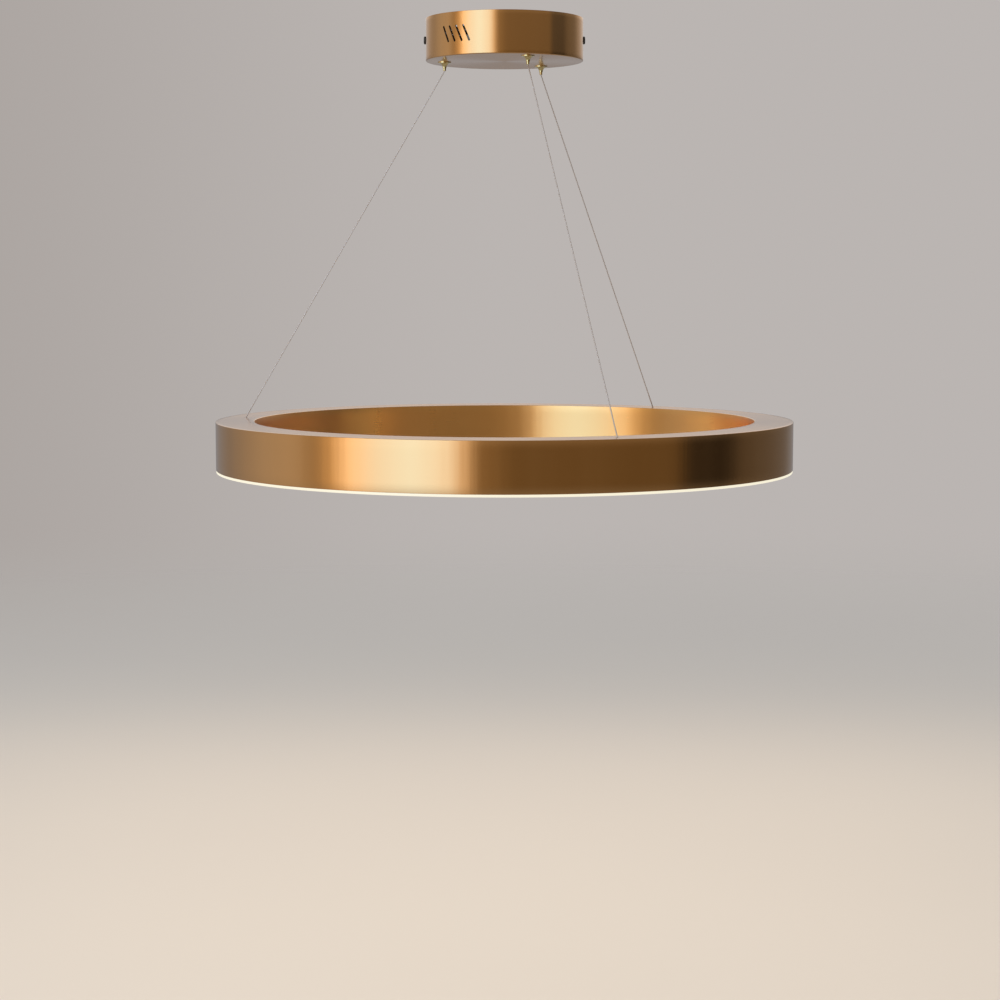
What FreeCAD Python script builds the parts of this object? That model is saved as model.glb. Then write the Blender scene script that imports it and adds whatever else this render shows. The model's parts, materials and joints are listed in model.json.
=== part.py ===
"""LED ring chandelier: a canopy on the ceiling, three wires in grippers, and a lit metal ring.

The origin is the centre of the mounting bar's top face, which lies on the ceiling. Z points up,
so the whole lamp hangs below zero, and the side that faces the viewer looks along -Y. Lengths are
in millimetres and angles in degrees.
"""
import FreeCAD, Part
import math
import os
import re
import Sketcher

from FreeCAD import Placement, Rotation, Vector

doc = FreeCAD.newDocument("RingChandelier")
sheet = doc.addObject("Spreadsheet::Sheet", "Sizes")

# Every size that can be set by itself: its name, its value and what it is.
DRIVING_SIZES = [
    ("canopy_diameter", 162.0, "outside of the canopy cover"),
    ("canopy_height", 42.8, "height of the canopy cover"),
    ("canopy_wall", 1.2, "sheet of the canopy cover"),
    ("canopy_edge_radius", 1.0, "rounding of the cover's lower edge"),
    ("ceiling_gap", 1.2, "shadow line between the cover and the ceiling"),
    ("vent_count", 4, "slanted vents in the cover's wall"),
    ("vent_width", 2.3, "width of a vent"),
    ("vent_length", 18.2, "length of a vent, along its slant"),
    ("vent_lean", 25.0, "slant of a vent from upright"),
    ("vent_pitch", 6.1, "angle from one vent to the next"),
    ("vent_middle_angle", 37.4, "middle of the vents, to the left of the front"),
    ("bar_width", 30.0, "width of the mounting bar"),
    ("bar_thickness", 1.5, "steel of the mounting bar"),
    ("bar_taper", 10.0, "length of each narrowing end of the bar"),
    ("tab_width", 12.0, "width of a down-turned tab"),
    ("tab_drop", 30.0, "how far a tab reaches below the ceiling"),
    ("tab_clearance", 0.6, "between a tab and the cover's wall"),
    ("slot_spacing", 60.0, "between the two ceiling screws"),
    ("slot_width", 5.0, "width of a ceiling screw slot"),
    ("slot_length", 15.0, "length of a ceiling screw slot"),
    ("cable_hole_diameter", 12.0, "hole in the bar for the mains cable"),
    ("grommet_bore", 9.0, "bore of the cable grommet"),
    ("grommet_lip", 2.0, "how far the grommet's lip reaches past the hole"),
    ("grommet_lip_thickness", 2.5, "thickness of the grommet's lip"),
    ("side_screw_diameter", 4.0, "thread of a cover screw"),
    ("side_screw_head_diameter", 8.0, "head of a cover screw"),
    ("side_screw_head_height", 2.0, "head height of a cover screw"),
    ("side_screw_crown_diameter", 4.8, "flat middle of its head"),
    ("side_screw_length", 9.0, "cover screw below its head"),
    ("hole_clearance", 0.15, "radial, around a shank in a plain hole"),
    ("thread_clearance", 0.05, "radial, around a shank in its thread"),
    ("driver_length", 94.0, "case of the LED driver, along X"),
    ("driver_width", 40.0, "case of the LED driver, along Y"),
    ("driver_height", 24.0, "case of the LED driver with its lid"),
    ("driver_wall", 1.2, "wall of the driver's case"),
    ("driver_lid_thickness", 1.6, "plate of the driver's lid"),
    ("driver_lid_lip", 1.5, "depth of the lid's lip in the case"),
    ("driver_offset", 6.0, "driver's middle from the lamp's axis, along X"),
    ("ear_length", 8.0, "fixing ear at each end of the driver"),
    ("ear_width", 14.0, "width of an ear"),
    ("ear_thickness", 1.6, "thickness of an ear"),
    ("board_thickness", 1.6, "driver's circuit board"),
    ("board_post_height", 3.0, "posts under the circuit board"),
    ("board_post_diameter", 6.0, "posts under the circuit board"),
    ("board_margin", 0.6, "between the board and the case"),
    ("board_headroom", 1.4, "between the board's tallest pieces and the lid"),
    ("transformer_length", 19.0, "transformer, along X"),
    ("transformer_width", 20.0, "transformer, along Y"),
    ("choke_x", 27.5, "choke from the board's middle, along X"),
    ("choke_length", 8.0, "choke, along X"),
    ("choke_width", 13.0, "choke, along Y"),
    ("capacitor_x", -28.0, "capacitors from the board's middle, along X"),
    ("capacitor_spacing", 16.0, "between the two capacitors, along Y"),
    ("capacitor_diameter", 10.0, "capacitor"),
    ("capacitor_height", 12.5, "capacitor"),
    ("stud_diameter", 3.0, "weld stud for the driver"),
    ("stud_height", 8.0, "height of a driver stud"),
    ("driver_nut_across", 5.5, "driver nut across its flats"),
    ("driver_nut_height", 2.4, "height of a driver nut"),
    ("block_x", 54.0, "terminal block's middle, along X"),
    ("block_length", 26.0, "terminal block, along X"),
    ("block_depth", 16.0, "terminal block, along Y"),
    ("block_height", 13.0, "terminal block, below the bar"),
    ("pole_pitch", 8.0, "between two poles of the block"),
    ("pole_bore", 3.2, "wire entry of a pole"),
    ("pole_drop", 7.5, "wire entries below the bar"),
    ("clamp_well_diameter", 4.0, "well of a clamp screw"),
    ("clamp_screw_diameter", 3.2, "clamp screw"),
    ("clamp_row_offset", 4.5, "clamp screws from the block's middle, along Y"),
    ("block_screw_diameter", 3.0, "screw that holds the block"),
    ("block_screw_head_diameter", 5.6, "its head"),
    ("block_screw_head_height", 1.8, "height of its head"),
    ("earth_screw_x", -48.0, "earth screw on the bar, along X"),
    ("earth_screw_diameter", 4.0, "earth screw and earth stud"),
    ("earth_head_diameter", 7.2, "head of the earth screw"),
    ("earth_head_height", 2.4, "height of its head"),
    ("earth_tag_diameter", 8.0, "ring tag on an earth lead"),
    ("earth_tag_thickness", 0.8, "sheet of a ring tag"),
    ("earth_stud_x", -15.0, "earth stud on the canopy floor, along X"),
    ("earth_stud_y", -50.0, "earth stud on the canopy floor, along Y"),
    ("earth_stud_height", 9.0, "height of the earth stud"),
    ("earth_nut_across", 7.0, "earth nut across its flats"),
    ("earth_nut_height", 3.2, "height of the earth nut"),
    ("mains_lead_diameter", 2.2, "single insulated lead in the canopy"),
    ("lead_gap", 0.1, "between a lead's end and what it meets"),
    ("tag_lead_gap", 0.3, "between an earth lead and its tag's edge"),
    ("driver_lead_height", 12.0, "leads above the canopy floor at the driver"),
    ("driver_lead_offset", 6.0, "leads from the driver's middle, along Y"),
    ("wire_count", 3, "suspension wires"),
    ("first_wire_angle", -68.0, "azimuth of the first wire"),
    ("wire_diameter", 1.2, "suspension wire"),
    ("gripper_inset", 18.5, "grippers from the cover's outer face"),
    ("gripper_flange_radius", 6.75, "rim of the gripper's trumpet"),
    ("gripper_rim", 0.8, "straight edge of that rim"),
    ("gripper_neck_radius", 1.9, "narrow end of the trumpet"),
    ("trumpet_length", 6.0, "trumpet below the canopy"),
    ("barrel_radius", 4.8, "threaded barrel of the gripper"),
    ("barrel_length", 22.0, "barrel above the flange"),
    ("chamber_radius", 3.3, "spring chamber in the barrel"),
    ("shoulder_height", 4.0, "plunger's stop above the flange"),
    ("cone_low_radius", 2.3, "narrow end of the gripping cone"),
    ("cone_angle", 8.0, "half angle of the gripping cone"),
    ("ball_radius", 1.0, "gripping ball"),
    ("ball_count", 3, "balls in one gripper"),
    ("ball_clearance", 0.03, "between a ball, the wire and the cone"),
    ("plunger_stem_radius", 1.5, "plunger's stem and nozzle"),
    ("plunger_head_radius", 2.1, "plunger's ball cage"),
    ("plunger_head_top", 8.4, "top of the ball cage above the flange"),
    ("plunger_collar_radius", 2.6, "spring seat of the plunger"),
    ("plunger_collar_height", 1.0, "thickness of the spring seat"),
    ("plunger_chamfer", 0.3, "edge of the nozzle"),
    ("nozzle_reach", 2.8, "nozzle below the trumpet"),
    ("running_clearance", 0.05, "radial, around the plunger's stem"),
    ("wire_clearance", 0.1, "radial, around the wire in a bore"),
    ("spring_radius", 2.05, "middle of the spring's coils"),
    ("spring_wire_diameter", 0.5, "wire of the spring"),
    ("spring_turns", 6, "turns of the spring"),
    ("cap_plug_depth", 2.5, "gripper cap inside the barrel"),
    ("cap_flange_radius", 4.4, "gripper cap above the barrel"),
    ("cap_flange_height", 1.0, "its thickness"),
    ("gripper_nut_across", 14.0, "gripper nut across its flats"),
    ("gripper_nut_height", 5.0, "height of a gripper nut"),
    ("washer_radius", 8.5, "gripper washer"),
    ("washer_thickness", 1.0, "gripper washer"),
    ("tail_depth", 11.5, "wire tails below the ceiling"),
    ("tail_inset", 8.0, "live wire tails from the cover's outer face"),
    ("tail_sweep", 95.0, "angle that a live wire's tail runs round"),
    ("tail_steps", 7, "straight runs in that stretch"),
    ("tail_bend_radius", 8.0, "bends of a wire tail"),
    ("short_tail_radius", 22.0, "end of the short wire tail from the lamp's axis"),
    ("short_tail_turn", 8.0, "how far round that end lies from its gripper"),
    ("splice_diameter", 3.6, "crimped splice"),
    ("splice_length", 11.0, "crimped splice"),
    ("ring_drop", 413.0, "top of the ring below the ceiling"),
    ("ring_diameter", 600.0, "outside of the ring"),
    ("ring_band", 40.0, "width of the ring, seen from above"),
    ("ring_height", 49.5, "height of the ring's metal"),
    ("ring_wall", 2.0, "wall of the ring's profile"),
    ("ring_chamfer", 0.4, "edges of the ring's top"),
    ("anchor_inset", 22.0, "wires from the ring's outer face"),
    ("bush_stem_radius", 2.0, "anchor bush in the ring's top"),
    ("bush_flange_radius", 4.0, "anchor bush below the ring's top"),
    ("bush_flange_thickness", 1.2, "its flange"),
    ("ferrule_radius", 2.0, "ferrule crimped on the wire"),
    ("ferrule_length", 8.0, "ferrule crimped on the wire"),
    ("rib_depth", 26.0, "tray ribs below the ring's top"),
    ("rib_thickness", 2.0, "tray rib"),
    ("rib_reach", 6.0, "tray rib, from its wall"),
    ("groove_low", 5.0, "snap groove above the metal's lower edge"),
    ("groove_high", 6.6, "its upper side"),
    ("groove_depth", 0.8, "snap groove in the wall"),
    ("tray_thickness", 1.5, "LED tray"),
    ("tray_edge_gap", 0.5, "between the tray and the walls"),
    ("tray_screw_count", 6, "tray screws on each rib"),
    ("tray_screw_diameter", 3.0, "tray screw"),
    ("tray_screw_head_diameter", 5.4, "its head"),
    ("tray_screw_head_height", 1.8, "its head"),
    ("strip_width", 12.0, "LED strip"),
    ("strip_thickness", 0.3, "LED strip"),
    ("strip_gap_angle", 2.0, "open joint of the LED strip"),
    ("chip_count", 96, "LEDs on the strip"),
    ("chip_length", 3.5, "LED, across the strip"),
    ("chip_width", 2.8, "LED, along the strip"),
    ("chip_height", 0.8, "LED, below the strip"),
    ("strip_lead_diameter", 1.6, "lead from a wire to the strip"),
    ("strip_lead_shift", 22.0, "how far that lead goes sideways"),
    ("strip_lead_fall", 3.0, "how far it falls on the way"),
    ("diffuser_thickness", 2.5, "opal plate below the metal"),
    ("diffuser_inset", 0.3, "plate's edge from the metal's face"),
    ("diffuser_leg_height", 8.0, "snap leg inside the metal"),
    ("diffuser_leg_thickness", 1.4, "snap leg inside the metal"),
    ("diffuser_leg_gap", 0.15, "between a snap leg and its wall"),
    ("barb_reach", 0.6, "barb on a snap leg"),
    ("barb_play", 0.1, "barb in its groove, up and down"),
]

for row, (alias, number, meaning) in enumerate(DRIVING_SIZES, start=1):
    sheet.set(f"A{row}", alias)
    sheet.set(f"B{row}", str(number))
    sheet.set(f"C{row}", meaning)
    sheet.setAlias(f"B{row}", alias)
doc.recompute()

ALIASES = {alias for alias, number, meaning in DRIVING_SIZES}
parts = []


# ---------------------------------------------------------------- sizes worked out from the sheet

# Levels and radii that several pieces share, written in the names of the sheet.
FLOOR_UNDERSIDE = "-(ceiling_gap + canopy_height)"
FLOOR_TOP = "-(ceiling_gap + canopy_height - canopy_wall)"
CANOPY_INNER = "(canopy_diameter / 2 - canopy_wall)"
TAB_FACE = "(canopy_diameter / 2 - canopy_wall - tab_clearance)"
SIDE_SCREW_LEVEL = "-(ceiling_gap + canopy_height / 2)"
NOZZLE_TIP = "-(ceiling_gap + canopy_height + trumpet_length + nozzle_reach)"
RING_OUTER = "(ring_diameter / 2)"
RING_INNER = "(ring_diameter / 2 - ring_band)"
RING_MIDDLE = "(ring_diameter / 2 - ring_band / 2)"
GRIPPER_CIRCLE = "(canopy_diameter / 2 - gripper_inset)"
TAIL_CIRCLE = "(canopy_diameter / 2 - tail_inset)"
ANCHOR_CIRCLE = "(ring_diameter / 2 - anchor_inset)"
STRIP_TOP = "-(rib_depth + rib_thickness + tray_thickness)"
STRIP_LEAD_X = f"sqrt({RING_MIDDLE}^2 - strip_lead_shift^2)"
BALL_CIRCLE = "(wire_diameter / 2 + ball_radius + ball_clearance)"
BALL_HEIGHT = (
    f"(shoulder_height + ({BALL_CIRCLE} + ball_radius / cos(cone_angle) + ball_clearance"
    " - cone_low_radius) / tan(cone_angle))"
)
CONE_TOP = "(shoulder_height + (chamber_radius - cone_low_radius) / tan(cone_angle))"
WIRE_STEP = "(360 / wire_count)"


def bound(text):
    """The expression with each size's name pointed at its cell in the sheet."""
    return re.sub(r"[a-z_]+", lambda word: f"Sizes.{word[0]}" if word[0] in ALIASES else word[0], str(text))


def size(text):
    """The value of an expression in the names of the sheet."""
    result = sheet.evalExpression(bound(text))
    return float(getattr(result, "Value", result))


# ---------------------------------------------------------------- sketches and features

def new_body(label):
    """A sub-part built from sketches. It may hold several like pieces."""
    body = doc.addObject("PartDesign::Body", label)
    body.Label = label
    body.AllowCompound = True
    parts.append(body)
    return body


def origin_feature(body, role):
    """The plane or axis of the body's own origin with this role."""
    return next(item for item in body.Origin.OriginFeatures if item.Role == role)


def new_sketch(body, plane, offset="0", turn="0"):
    """A sketch on one of the body's origin planes, moved along its normal and turned about Z."""
    sketch = body.newObject("Sketcher::SketchObject", f"{body.Label}_sketch")
    sketch.AttachmentSupport = (origin_feature(body, plane), [""])
    sketch.MapMode = "FlatFace"
    if turn != "0":
        sketch.AttachmentOffset = Placement(Vector(), Rotation(Vector(0, 1, 0), 1))
        sketch.setExpression("AttachmentOffset.Rotation.Angle", bound(turn))
    sketch.setExpression("AttachmentOffset.Base.z", bound(offset))
    return sketch


def fix(sketch, geometry, vertex, x, y):
    """Binds a vertex of the sketch to two expressions."""
    for kind, text in (("DistanceX", x), ("DistanceY", y)):
        index = sketch.addConstraint(Sketcher.Constraint(kind, -1, 1, geometry, vertex, size(text)))
        sketch.setExpression(f"Constraints[{index}]", bound(text))


def draw_side(sketch, start, end, centre):
    """Adds a line, or an arc about a centre, and gives the numbers of its first and last vertex."""
    if centre is None:
        sketch.addGeometry(Part.LineSegment(start, end))
        return 1, 2
    circle = Part.Circle(centre, Vector(0, 0, 1), (start - centre).Length)
    first = math.atan2(start.y - centre.y, start.x - centre.x)
    last = math.atan2(end.y - centre.y, end.x - centre.x)
    turns_left = (start - centre).cross(end - centre).z > 0
    if not turns_left:
        first, last = last, first
    if last < first:
        last += 2 * math.pi
    sketch.addGeometry(Part.ArcOfCircle(circle, first, last))
    return (1, 2) if turns_left else (2, 1)


def outline(sketch, corners, arcs=None):
    """A closed outline through the corners. arcs gives the centre of each side that is an arc."""
    arcs = arcs or {}
    points = [Vector(size(x), size(y), 0) for x, y in corners]
    base = sketch.GeometryCount
    vertices = []
    for side, start in enumerate(points):
        centre = arcs.get(side)
        middle = Vector(size(centre[0]), size(centre[1]), 0) if centre else None
        vertices.append(draw_side(sketch, start, points[(side + 1) % len(points)], middle))
    for side, (x, y) in enumerate(corners):
        following = (side + 1) % len(points)
        sketch.addConstraint(Sketcher.Constraint(
            "Coincident", base + side, vertices[side][1], base + following, vertices[following][0]))
        fix(sketch, base + side, vertices[side][0], x, y)
    for side, centre in arcs.items():
        index = sketch.addConstraint(
            Sketcher.Constraint("DistanceX", -1, 1, base + side, 3, size(centre[0])))
        sketch.setExpression(f"Constraints[{index}]", bound(centre[0]))


def rectangle(sketch, left, low, right, high):
    outline(sketch, [(left, low), (right, low), (right, high), (left, high)])


def circle(sketch, x, y, radius):
    geometry = sketch.addGeometry(Part.Circle(Vector(size(x), size(y), 0), Vector(0, 0, 1), size(radius)))
    fix(sketch, geometry, 3, x, y)
    index = sketch.addConstraint(Sketcher.Constraint("Radius", geometry, size(radius)))
    sketch.setExpression(f"Constraints[{index}]", bound(radius))


def hexagon(sketch, x, y, across):
    """Six sides about a point, two of them square to X."""
    corner = f"({across}) / (2 * cos(30))"
    outline(sketch, [
        (f"{x} + {corner} * cos({30 + 60 * number})", f"{y} + {corner} * sin({30 + 60 * number})")
        for number in range(6)
    ])


def pad(body, sketch, length, symmetric=False):
    feature = body.newObject("PartDesign::Pad", f"{body.Label}_pad")
    feature.Profile = sketch
    feature.SideType = "Symmetric" if symmetric else "One side"
    feature.setExpression("Length", bound(length))
    return feature


def cut(body, sketch, length=None, forwards=False):
    """Cuts the sketch into the body, right through both ways if no length is given."""
    doc.recompute()
    before = body.Shape.Volume
    feature = body.newObject("PartDesign::Pocket", f"{body.Label}_cut")
    feature.Profile = sketch
    if length is None:
        feature.SideType = "Symmetric"
        feature.Type = "ThroughAll"
    else:
        feature.setExpression("Length", bound(length))
        feature.Reversed = forwards
    doc.recompute()
    if body.Shape.Volume >= before:
        raise ValueError(f"a cut in {body.Label} misses it")
    return feature


def revolve(body, corners, arcs=None, axis="V_Axis", angle="360"):
    """Turns an outline in the upright plane about one of its two axes."""
    sketch = new_sketch(body, "XZ_Plane")
    outline(sketch, corners, arcs)
    feature = body.newObject("PartDesign::Revolution", f"{body.Label}_turned")
    feature.Profile = sketch
    feature.ReferenceAxis = (sketch, [axis])
    feature.setExpression("Angle", bound(angle))
    return feature


def repeat_round(body, features, count, angle="360"):
    """Repeats features about the body's Z axis, over a full turn or over a part of one."""
    pattern = body.newObject("PartDesign::PolarPattern", f"{body.Label}_pattern")
    pattern.Originals = features
    pattern.Axis = (origin_feature(body, "Z_Axis"), [""])
    pattern.setExpression("Angle", bound(angle))
    pattern.setExpression("Occurrences", bound(count))
    body.Tip = pattern
    return pattern


def place(part, x="0", y="0", z="0", turn="0"):
    """Binds where a sub-part lies and how far it is turned about Z."""
    part.setExpression("Placement.Base.x", bound(x))
    part.setExpression("Placement.Base.y", bound(y))
    part.setExpression("Placement.Base.z", bound(z))
    part.setExpression("Placement.Rotation.Angle", bound(turn))


def wire_angle(number):
    """The azimuth of a suspension wire, counted from 1."""
    return f"(first_wire_angle + {number - 1} * {WIRE_STEP})"


def place_at_gripper(part, number):
    angle = wire_angle(number)
    place(part, f"{GRIPPER_CIRCLE} * cos({angle})", f"{GRIPPER_CIRCLE} * sin({angle})",
          FLOOR_UNDERSIDE, angle)


# ---------------------------------------------------------------- wires and leads

def round_route(points, tightest=None):
    """A path of straight runs through the points, joined by tangent arcs.

    Each arc's radius is 0.45 of the shorter run beside it over the tangent of half the turn, and
    no more than tightest where that is given. Returns the wire and the smallest radius.
    """
    edges = []
    radii = []
    start = points[0]
    for before, corner, after in zip(points, points[1:], points[2:]):
        arriving = (corner - before).normalize()
        leaving = (after - corner).normalize()
        half_turn = arriving.getAngle(leaving) / 2
        setback = 0.45 * min((corner - before).Length, (after - corner).Length)
        radius = setback / math.tan(half_turn)
        if tightest is not None and radius > tightest:
            radius = tightest
            setback = radius * math.tan(half_turn)
        first = corner - arriving * setback
        last = corner + leaving * setback
        inwards = (leaving - arriving).normalize()
        middle = corner + inwards * (radius / math.cos(half_turn) - radius)
        edges.append(Part.LineSegment(start, first).toShape())
        edges.append(Part.Arc(first, middle, last).toShape())
        radii.append(radius)
        start = last
    edges.append(Part.LineSegment(start, points[-1]).toShape())
    return Part.Wire(edges), min(radii)


def tube(label, points, diameter, tightest=None):
    """A round lead or wire along a route. Prints its length, tightest bend and volume error."""
    path, bend = round_route(points, tightest)
    direction = points[1] - points[0]
    section = Part.Wire([Part.Circle(points[0], direction, diameter / 2).toShape()])
    shape = path.makePipeShell([section], True, False)
    expected = math.pi * (diameter / 2) ** 2 * path.Length
    print(f"{label}: length {path.Length:.1f}, tightest bend {bend:.1f}, "
          f"volume off by {abs(shape.Volume / expected - 1):.5f}")
    return feature_from(label, shape)


def feature_from(label, shape):
    """A sub-part whose shape is made from a route or a helix."""
    feature = doc.addObject("Part::Feature", label)
    feature.Label = label
    feature.Shape = shape
    parts.append(feature)
    return feature


def polar(radius, angle, height):
    """A point from its distance to the lamp's axis, its azimuth and its height."""
    turn = math.radians(angle)
    return Vector(radius * math.cos(turn), radius * math.sin(turn), height)


# ---------------------------------------------------------------- canopy

def make_canopy_cover():
    """Drawn sheet cup, open to the ceiling, with vents, screw holes and gripper holes."""
    body = new_body("canopy_cover")
    outer = "canopy_diameter / 2"
    edge = "canopy_edge_radius"
    rim = "-ceiling_gap"
    revolve(body, [
        ("0", FLOOR_UNDERSIDE),
        (f"{outer} - {edge}", FLOOR_UNDERSIDE),
        (outer, f"{FLOOR_UNDERSIDE} + {edge}"),
        (outer, rim),
        (CANOPY_INNER, rim),
        (CANOPY_INNER, FLOOR_TOP),
        ("0", FLOOR_TOP),
    ], arcs={1: (f"{outer} - {edge}", f"{FLOOR_UNDERSIDE} + {edge}")})
    cut_vents(body)
    screw_holes = new_sketch(body, "YZ_Plane")
    circle(screw_holes, "0", SIDE_SCREW_LEVEL, "side_screw_diameter / 2 + hole_clearance")
    cut(body, screw_holes)
    gripper_hole = new_sketch(body, "XY_Plane")
    circle(gripper_hole, f"{GRIPPER_CIRCLE} * cos(first_wire_angle)",
           f"{GRIPPER_CIRCLE} * sin(first_wire_angle)", "barrel_radius + hole_clearance")
    repeat_round(body, [cut(body, gripper_hole)], "wire_count")


def cut_vents(body):
    """Slanted slots with round ends, cut outwards from the axis on the left of the front."""
    first_turn = "-(vent_middle_angle + vent_pitch * (vent_count - 1) / 2)"
    half_run = "(vent_length - vent_width) / 2"
    along = (f"({half_run} * sin(vent_lean))", f"(-{half_run} * cos(vent_lean))")
    across = ("(vent_width / 2 * cos(vent_lean))", "(vent_width / 2 * sin(vent_lean))")
    middle = SIDE_SCREW_LEVEL
    straight = new_sketch(body, "XZ_Plane", turn=first_turn)
    outline(straight, [
        (f"{along[0]} + {across[0]}", f"{middle} + {along[1]} + {across[1]}"),
        (f"-{along[0]} + {across[0]}", f"{middle} - {along[1]} + {across[1]}"),
        (f"-{along[0]} - {across[0]}", f"{middle} - {along[1]} - {across[1]}"),
        (f"{along[0]} - {across[0]}", f"{middle} + {along[1]} - {across[1]}"),
    ])
    ends = new_sketch(body, "XZ_Plane", turn=first_turn)
    circle(ends, along[0], f"{middle} + {along[1]}", "vent_width / 2")
    circle(ends, f"-{along[0]}", f"{middle} - {along[1]}", "vent_width / 2")
    cuts = [cut(body, sketch, "canopy_diameter", forwards=True) for sketch in (straight, ends)]
    repeat_round(body, cuts, "vent_count", "vent_pitch * (vent_count - 1)")


def make_mounting_bar():
    """Steel strip on the ceiling, with two down-turned tabs that take the cover's screws."""
    body = new_body("mounting_bar")
    strip = new_sketch(body, "XY_Plane", "-bar_thickness")
    full = f"({TAB_FACE} - bar_taper)"
    outline(strip, [
        (f"-{TAB_FACE}", "-tab_width / 2"), (f"-{full}", "-bar_width / 2"),
        (full, "-bar_width / 2"), (TAB_FACE, "-tab_width / 2"),
        (TAB_FACE, "tab_width / 2"), (full, "bar_width / 2"),
        (f"-{full}", "bar_width / 2"), (f"-{TAB_FACE}", "tab_width / 2"),
    ])
    pad(body, strip, "bar_thickness")
    tabs = new_sketch(body, "XZ_Plane")
    rectangle(tabs, f"{TAB_FACE} - bar_thickness", "-tab_drop", TAB_FACE, "0")
    rectangle(tabs, f"-{TAB_FACE}", "-tab_drop", f"bar_thickness - {TAB_FACE}", "0")
    pad(body, tabs, "tab_width", symmetric=True)
    threads = new_sketch(body, "YZ_Plane")
    circle(threads, "0", SIDE_SCREW_LEVEL, "side_screw_diameter / 2 + thread_clearance")
    cut(body, threads)
    slots = new_sketch(body, "XY_Plane")
    slot_ends = new_sketch(body, "XY_Plane")
    half_run = "(slot_length - slot_width) / 2"
    for side in ("-", ""):
        middle = f"{side}slot_spacing / 2"
        rectangle(slots, f"{middle} - {half_run}", "-slot_width / 2",
                  f"{middle} + {half_run}", "slot_width / 2")
        circle(slot_ends, f"{middle} - {half_run}", "0", "slot_width / 2")
        circle(slot_ends, f"{middle} + {half_run}", "0", "slot_width / 2")
    cut(body, slots)
    cut(body, slot_ends)
    holes = new_sketch(body, "XY_Plane")
    circle(holes, "0", "0", "cable_hole_diameter / 2")
    circle(holes, "block_x + pole_pitch / 2", "0", "block_screw_diameter / 2 + thread_clearance")
    circle(holes, "earth_screw_x", "0", "earth_screw_diameter / 2 + thread_clearance")
    cut(body, holes)


def make_cable_grommet():
    """Rubber ring that lines the bar's cable hole."""
    body = new_body("cable_grommet")
    stem = "cable_hole_diameter / 2 - thread_clearance"
    lip = "cable_hole_diameter / 2 + grommet_lip"
    low = "-(bar_thickness + grommet_lip_thickness)"
    revolve(body, [
        ("grommet_bore / 2", low), (lip, low), (lip, "-bar_thickness"),
        (stem, "-bar_thickness"), (stem, "0"), ("grommet_bore / 2", "0"),
    ])


def screw_outline(shank_radius, length, head_radius, head_height):
    """Half section of a headed screw along Z, its head below zero and its shank above."""
    return [
        ("0", f"-({head_height})"), (head_radius, f"-({head_height})"), (head_radius, "0"),
        (shank_radius, "0"), (shank_radius, length), ("0", length),
    ]


def make_side_screws():
    """Two pan head screws through the cover's wall into the tabs."""
    body = new_body("canopy_side_screws")
    shank = "side_screw_diameter / 2"
    head = "side_screw_head_diameter / 2"
    wall = "canopy_diameter / 2"
    crown = f"{wall} + side_screw_head_height"
    turned = revolve(body, [
        (f"{wall} - side_screw_length", "0"), (crown, "0"), (crown, "side_screw_crown_diameter / 2"),
        (f"{wall} + side_screw_head_height / 2", head), (wall, head), (wall, shank),
        (f"{wall} - side_screw_length", shank),
    ], axis="H_Axis")
    repeat_round(body, [turned], "2")
    place(body, z=SIDE_SCREW_LEVEL)


# ---------------------------------------------------------------- driver

def make_driver_case():
    """Moulded box on the canopy floor, with an ear at each end and posts for the board."""
    body = new_body("driver_case")
    rim = "(driver_height - driver_lid_thickness)"
    base = new_sketch(body, "XY_Plane")
    rectangle(base, "-driver_length / 2", "-driver_width / 2", "driver_length / 2", "driver_width / 2")
    pad(body, base, rim)
    hollow = new_sketch(body, "XY_Plane", rim)
    rectangle(hollow, "driver_wall - driver_length / 2", "driver_wall - driver_width / 2",
              "driver_length / 2 - driver_wall", "driver_width / 2 - driver_wall")
    cut(body, hollow, f"{rim} - driver_wall")
    ears = new_sketch(body, "XY_Plane")
    inner = "(driver_length / 2 - driver_wall)"
    outer = "(driver_length / 2 + ear_length)"
    rectangle(ears, inner, "-ear_width / 2", outer, "ear_width / 2")
    rectangle(ears, f"-{outer}", "-ear_width / 2", f"-{inner}", "ear_width / 2")
    pad(body, ears, "ear_thickness")
    posts = new_sketch(body, "XY_Plane")
    for x in ("driver_length / 4", "-driver_length / 4"):
        for y in ("driver_width / 4", "-driver_width / 4"):
            circle(posts, x, y, "board_post_diameter / 2")
    pad(body, posts, "driver_wall + board_post_height")
    holes = new_sketch(body, "XY_Plane")
    circle(holes, "driver_length / 2 + ear_length / 2", "0", "stud_diameter / 2 + hole_clearance")
    circle(holes, "-(driver_length / 2 + ear_length / 2)", "0", "stud_diameter / 2 + hole_clearance")
    cut(body, holes, "ear_thickness", forwards=True)
    place(body, x="driver_offset", z=FLOOR_TOP)


def make_driver_lid():
    """Plate with a lip that fits in the case."""
    body = new_body("driver_lid")
    plate = new_sketch(body, "XY_Plane", "driver_height - driver_lid_thickness")
    rectangle(plate, "-driver_length / 2", "-driver_width / 2", "driver_length / 2", "driver_width / 2")
    pad(body, plate, "driver_lid_thickness")
    lip = new_sketch(body, "XY_Plane", "driver_height - driver_lid_thickness - driver_lid_lip")
    inset = "(driver_wall + hole_clearance)"
    rectangle(lip, f"{inset} - driver_length / 2", f"{inset} - driver_width / 2",
              f"driver_length / 2 - {inset}", f"driver_width / 2 - {inset}")
    pad(body, lip, "driver_lid_lip")
    place(body, x="driver_offset", z=FLOOR_TOP)


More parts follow.
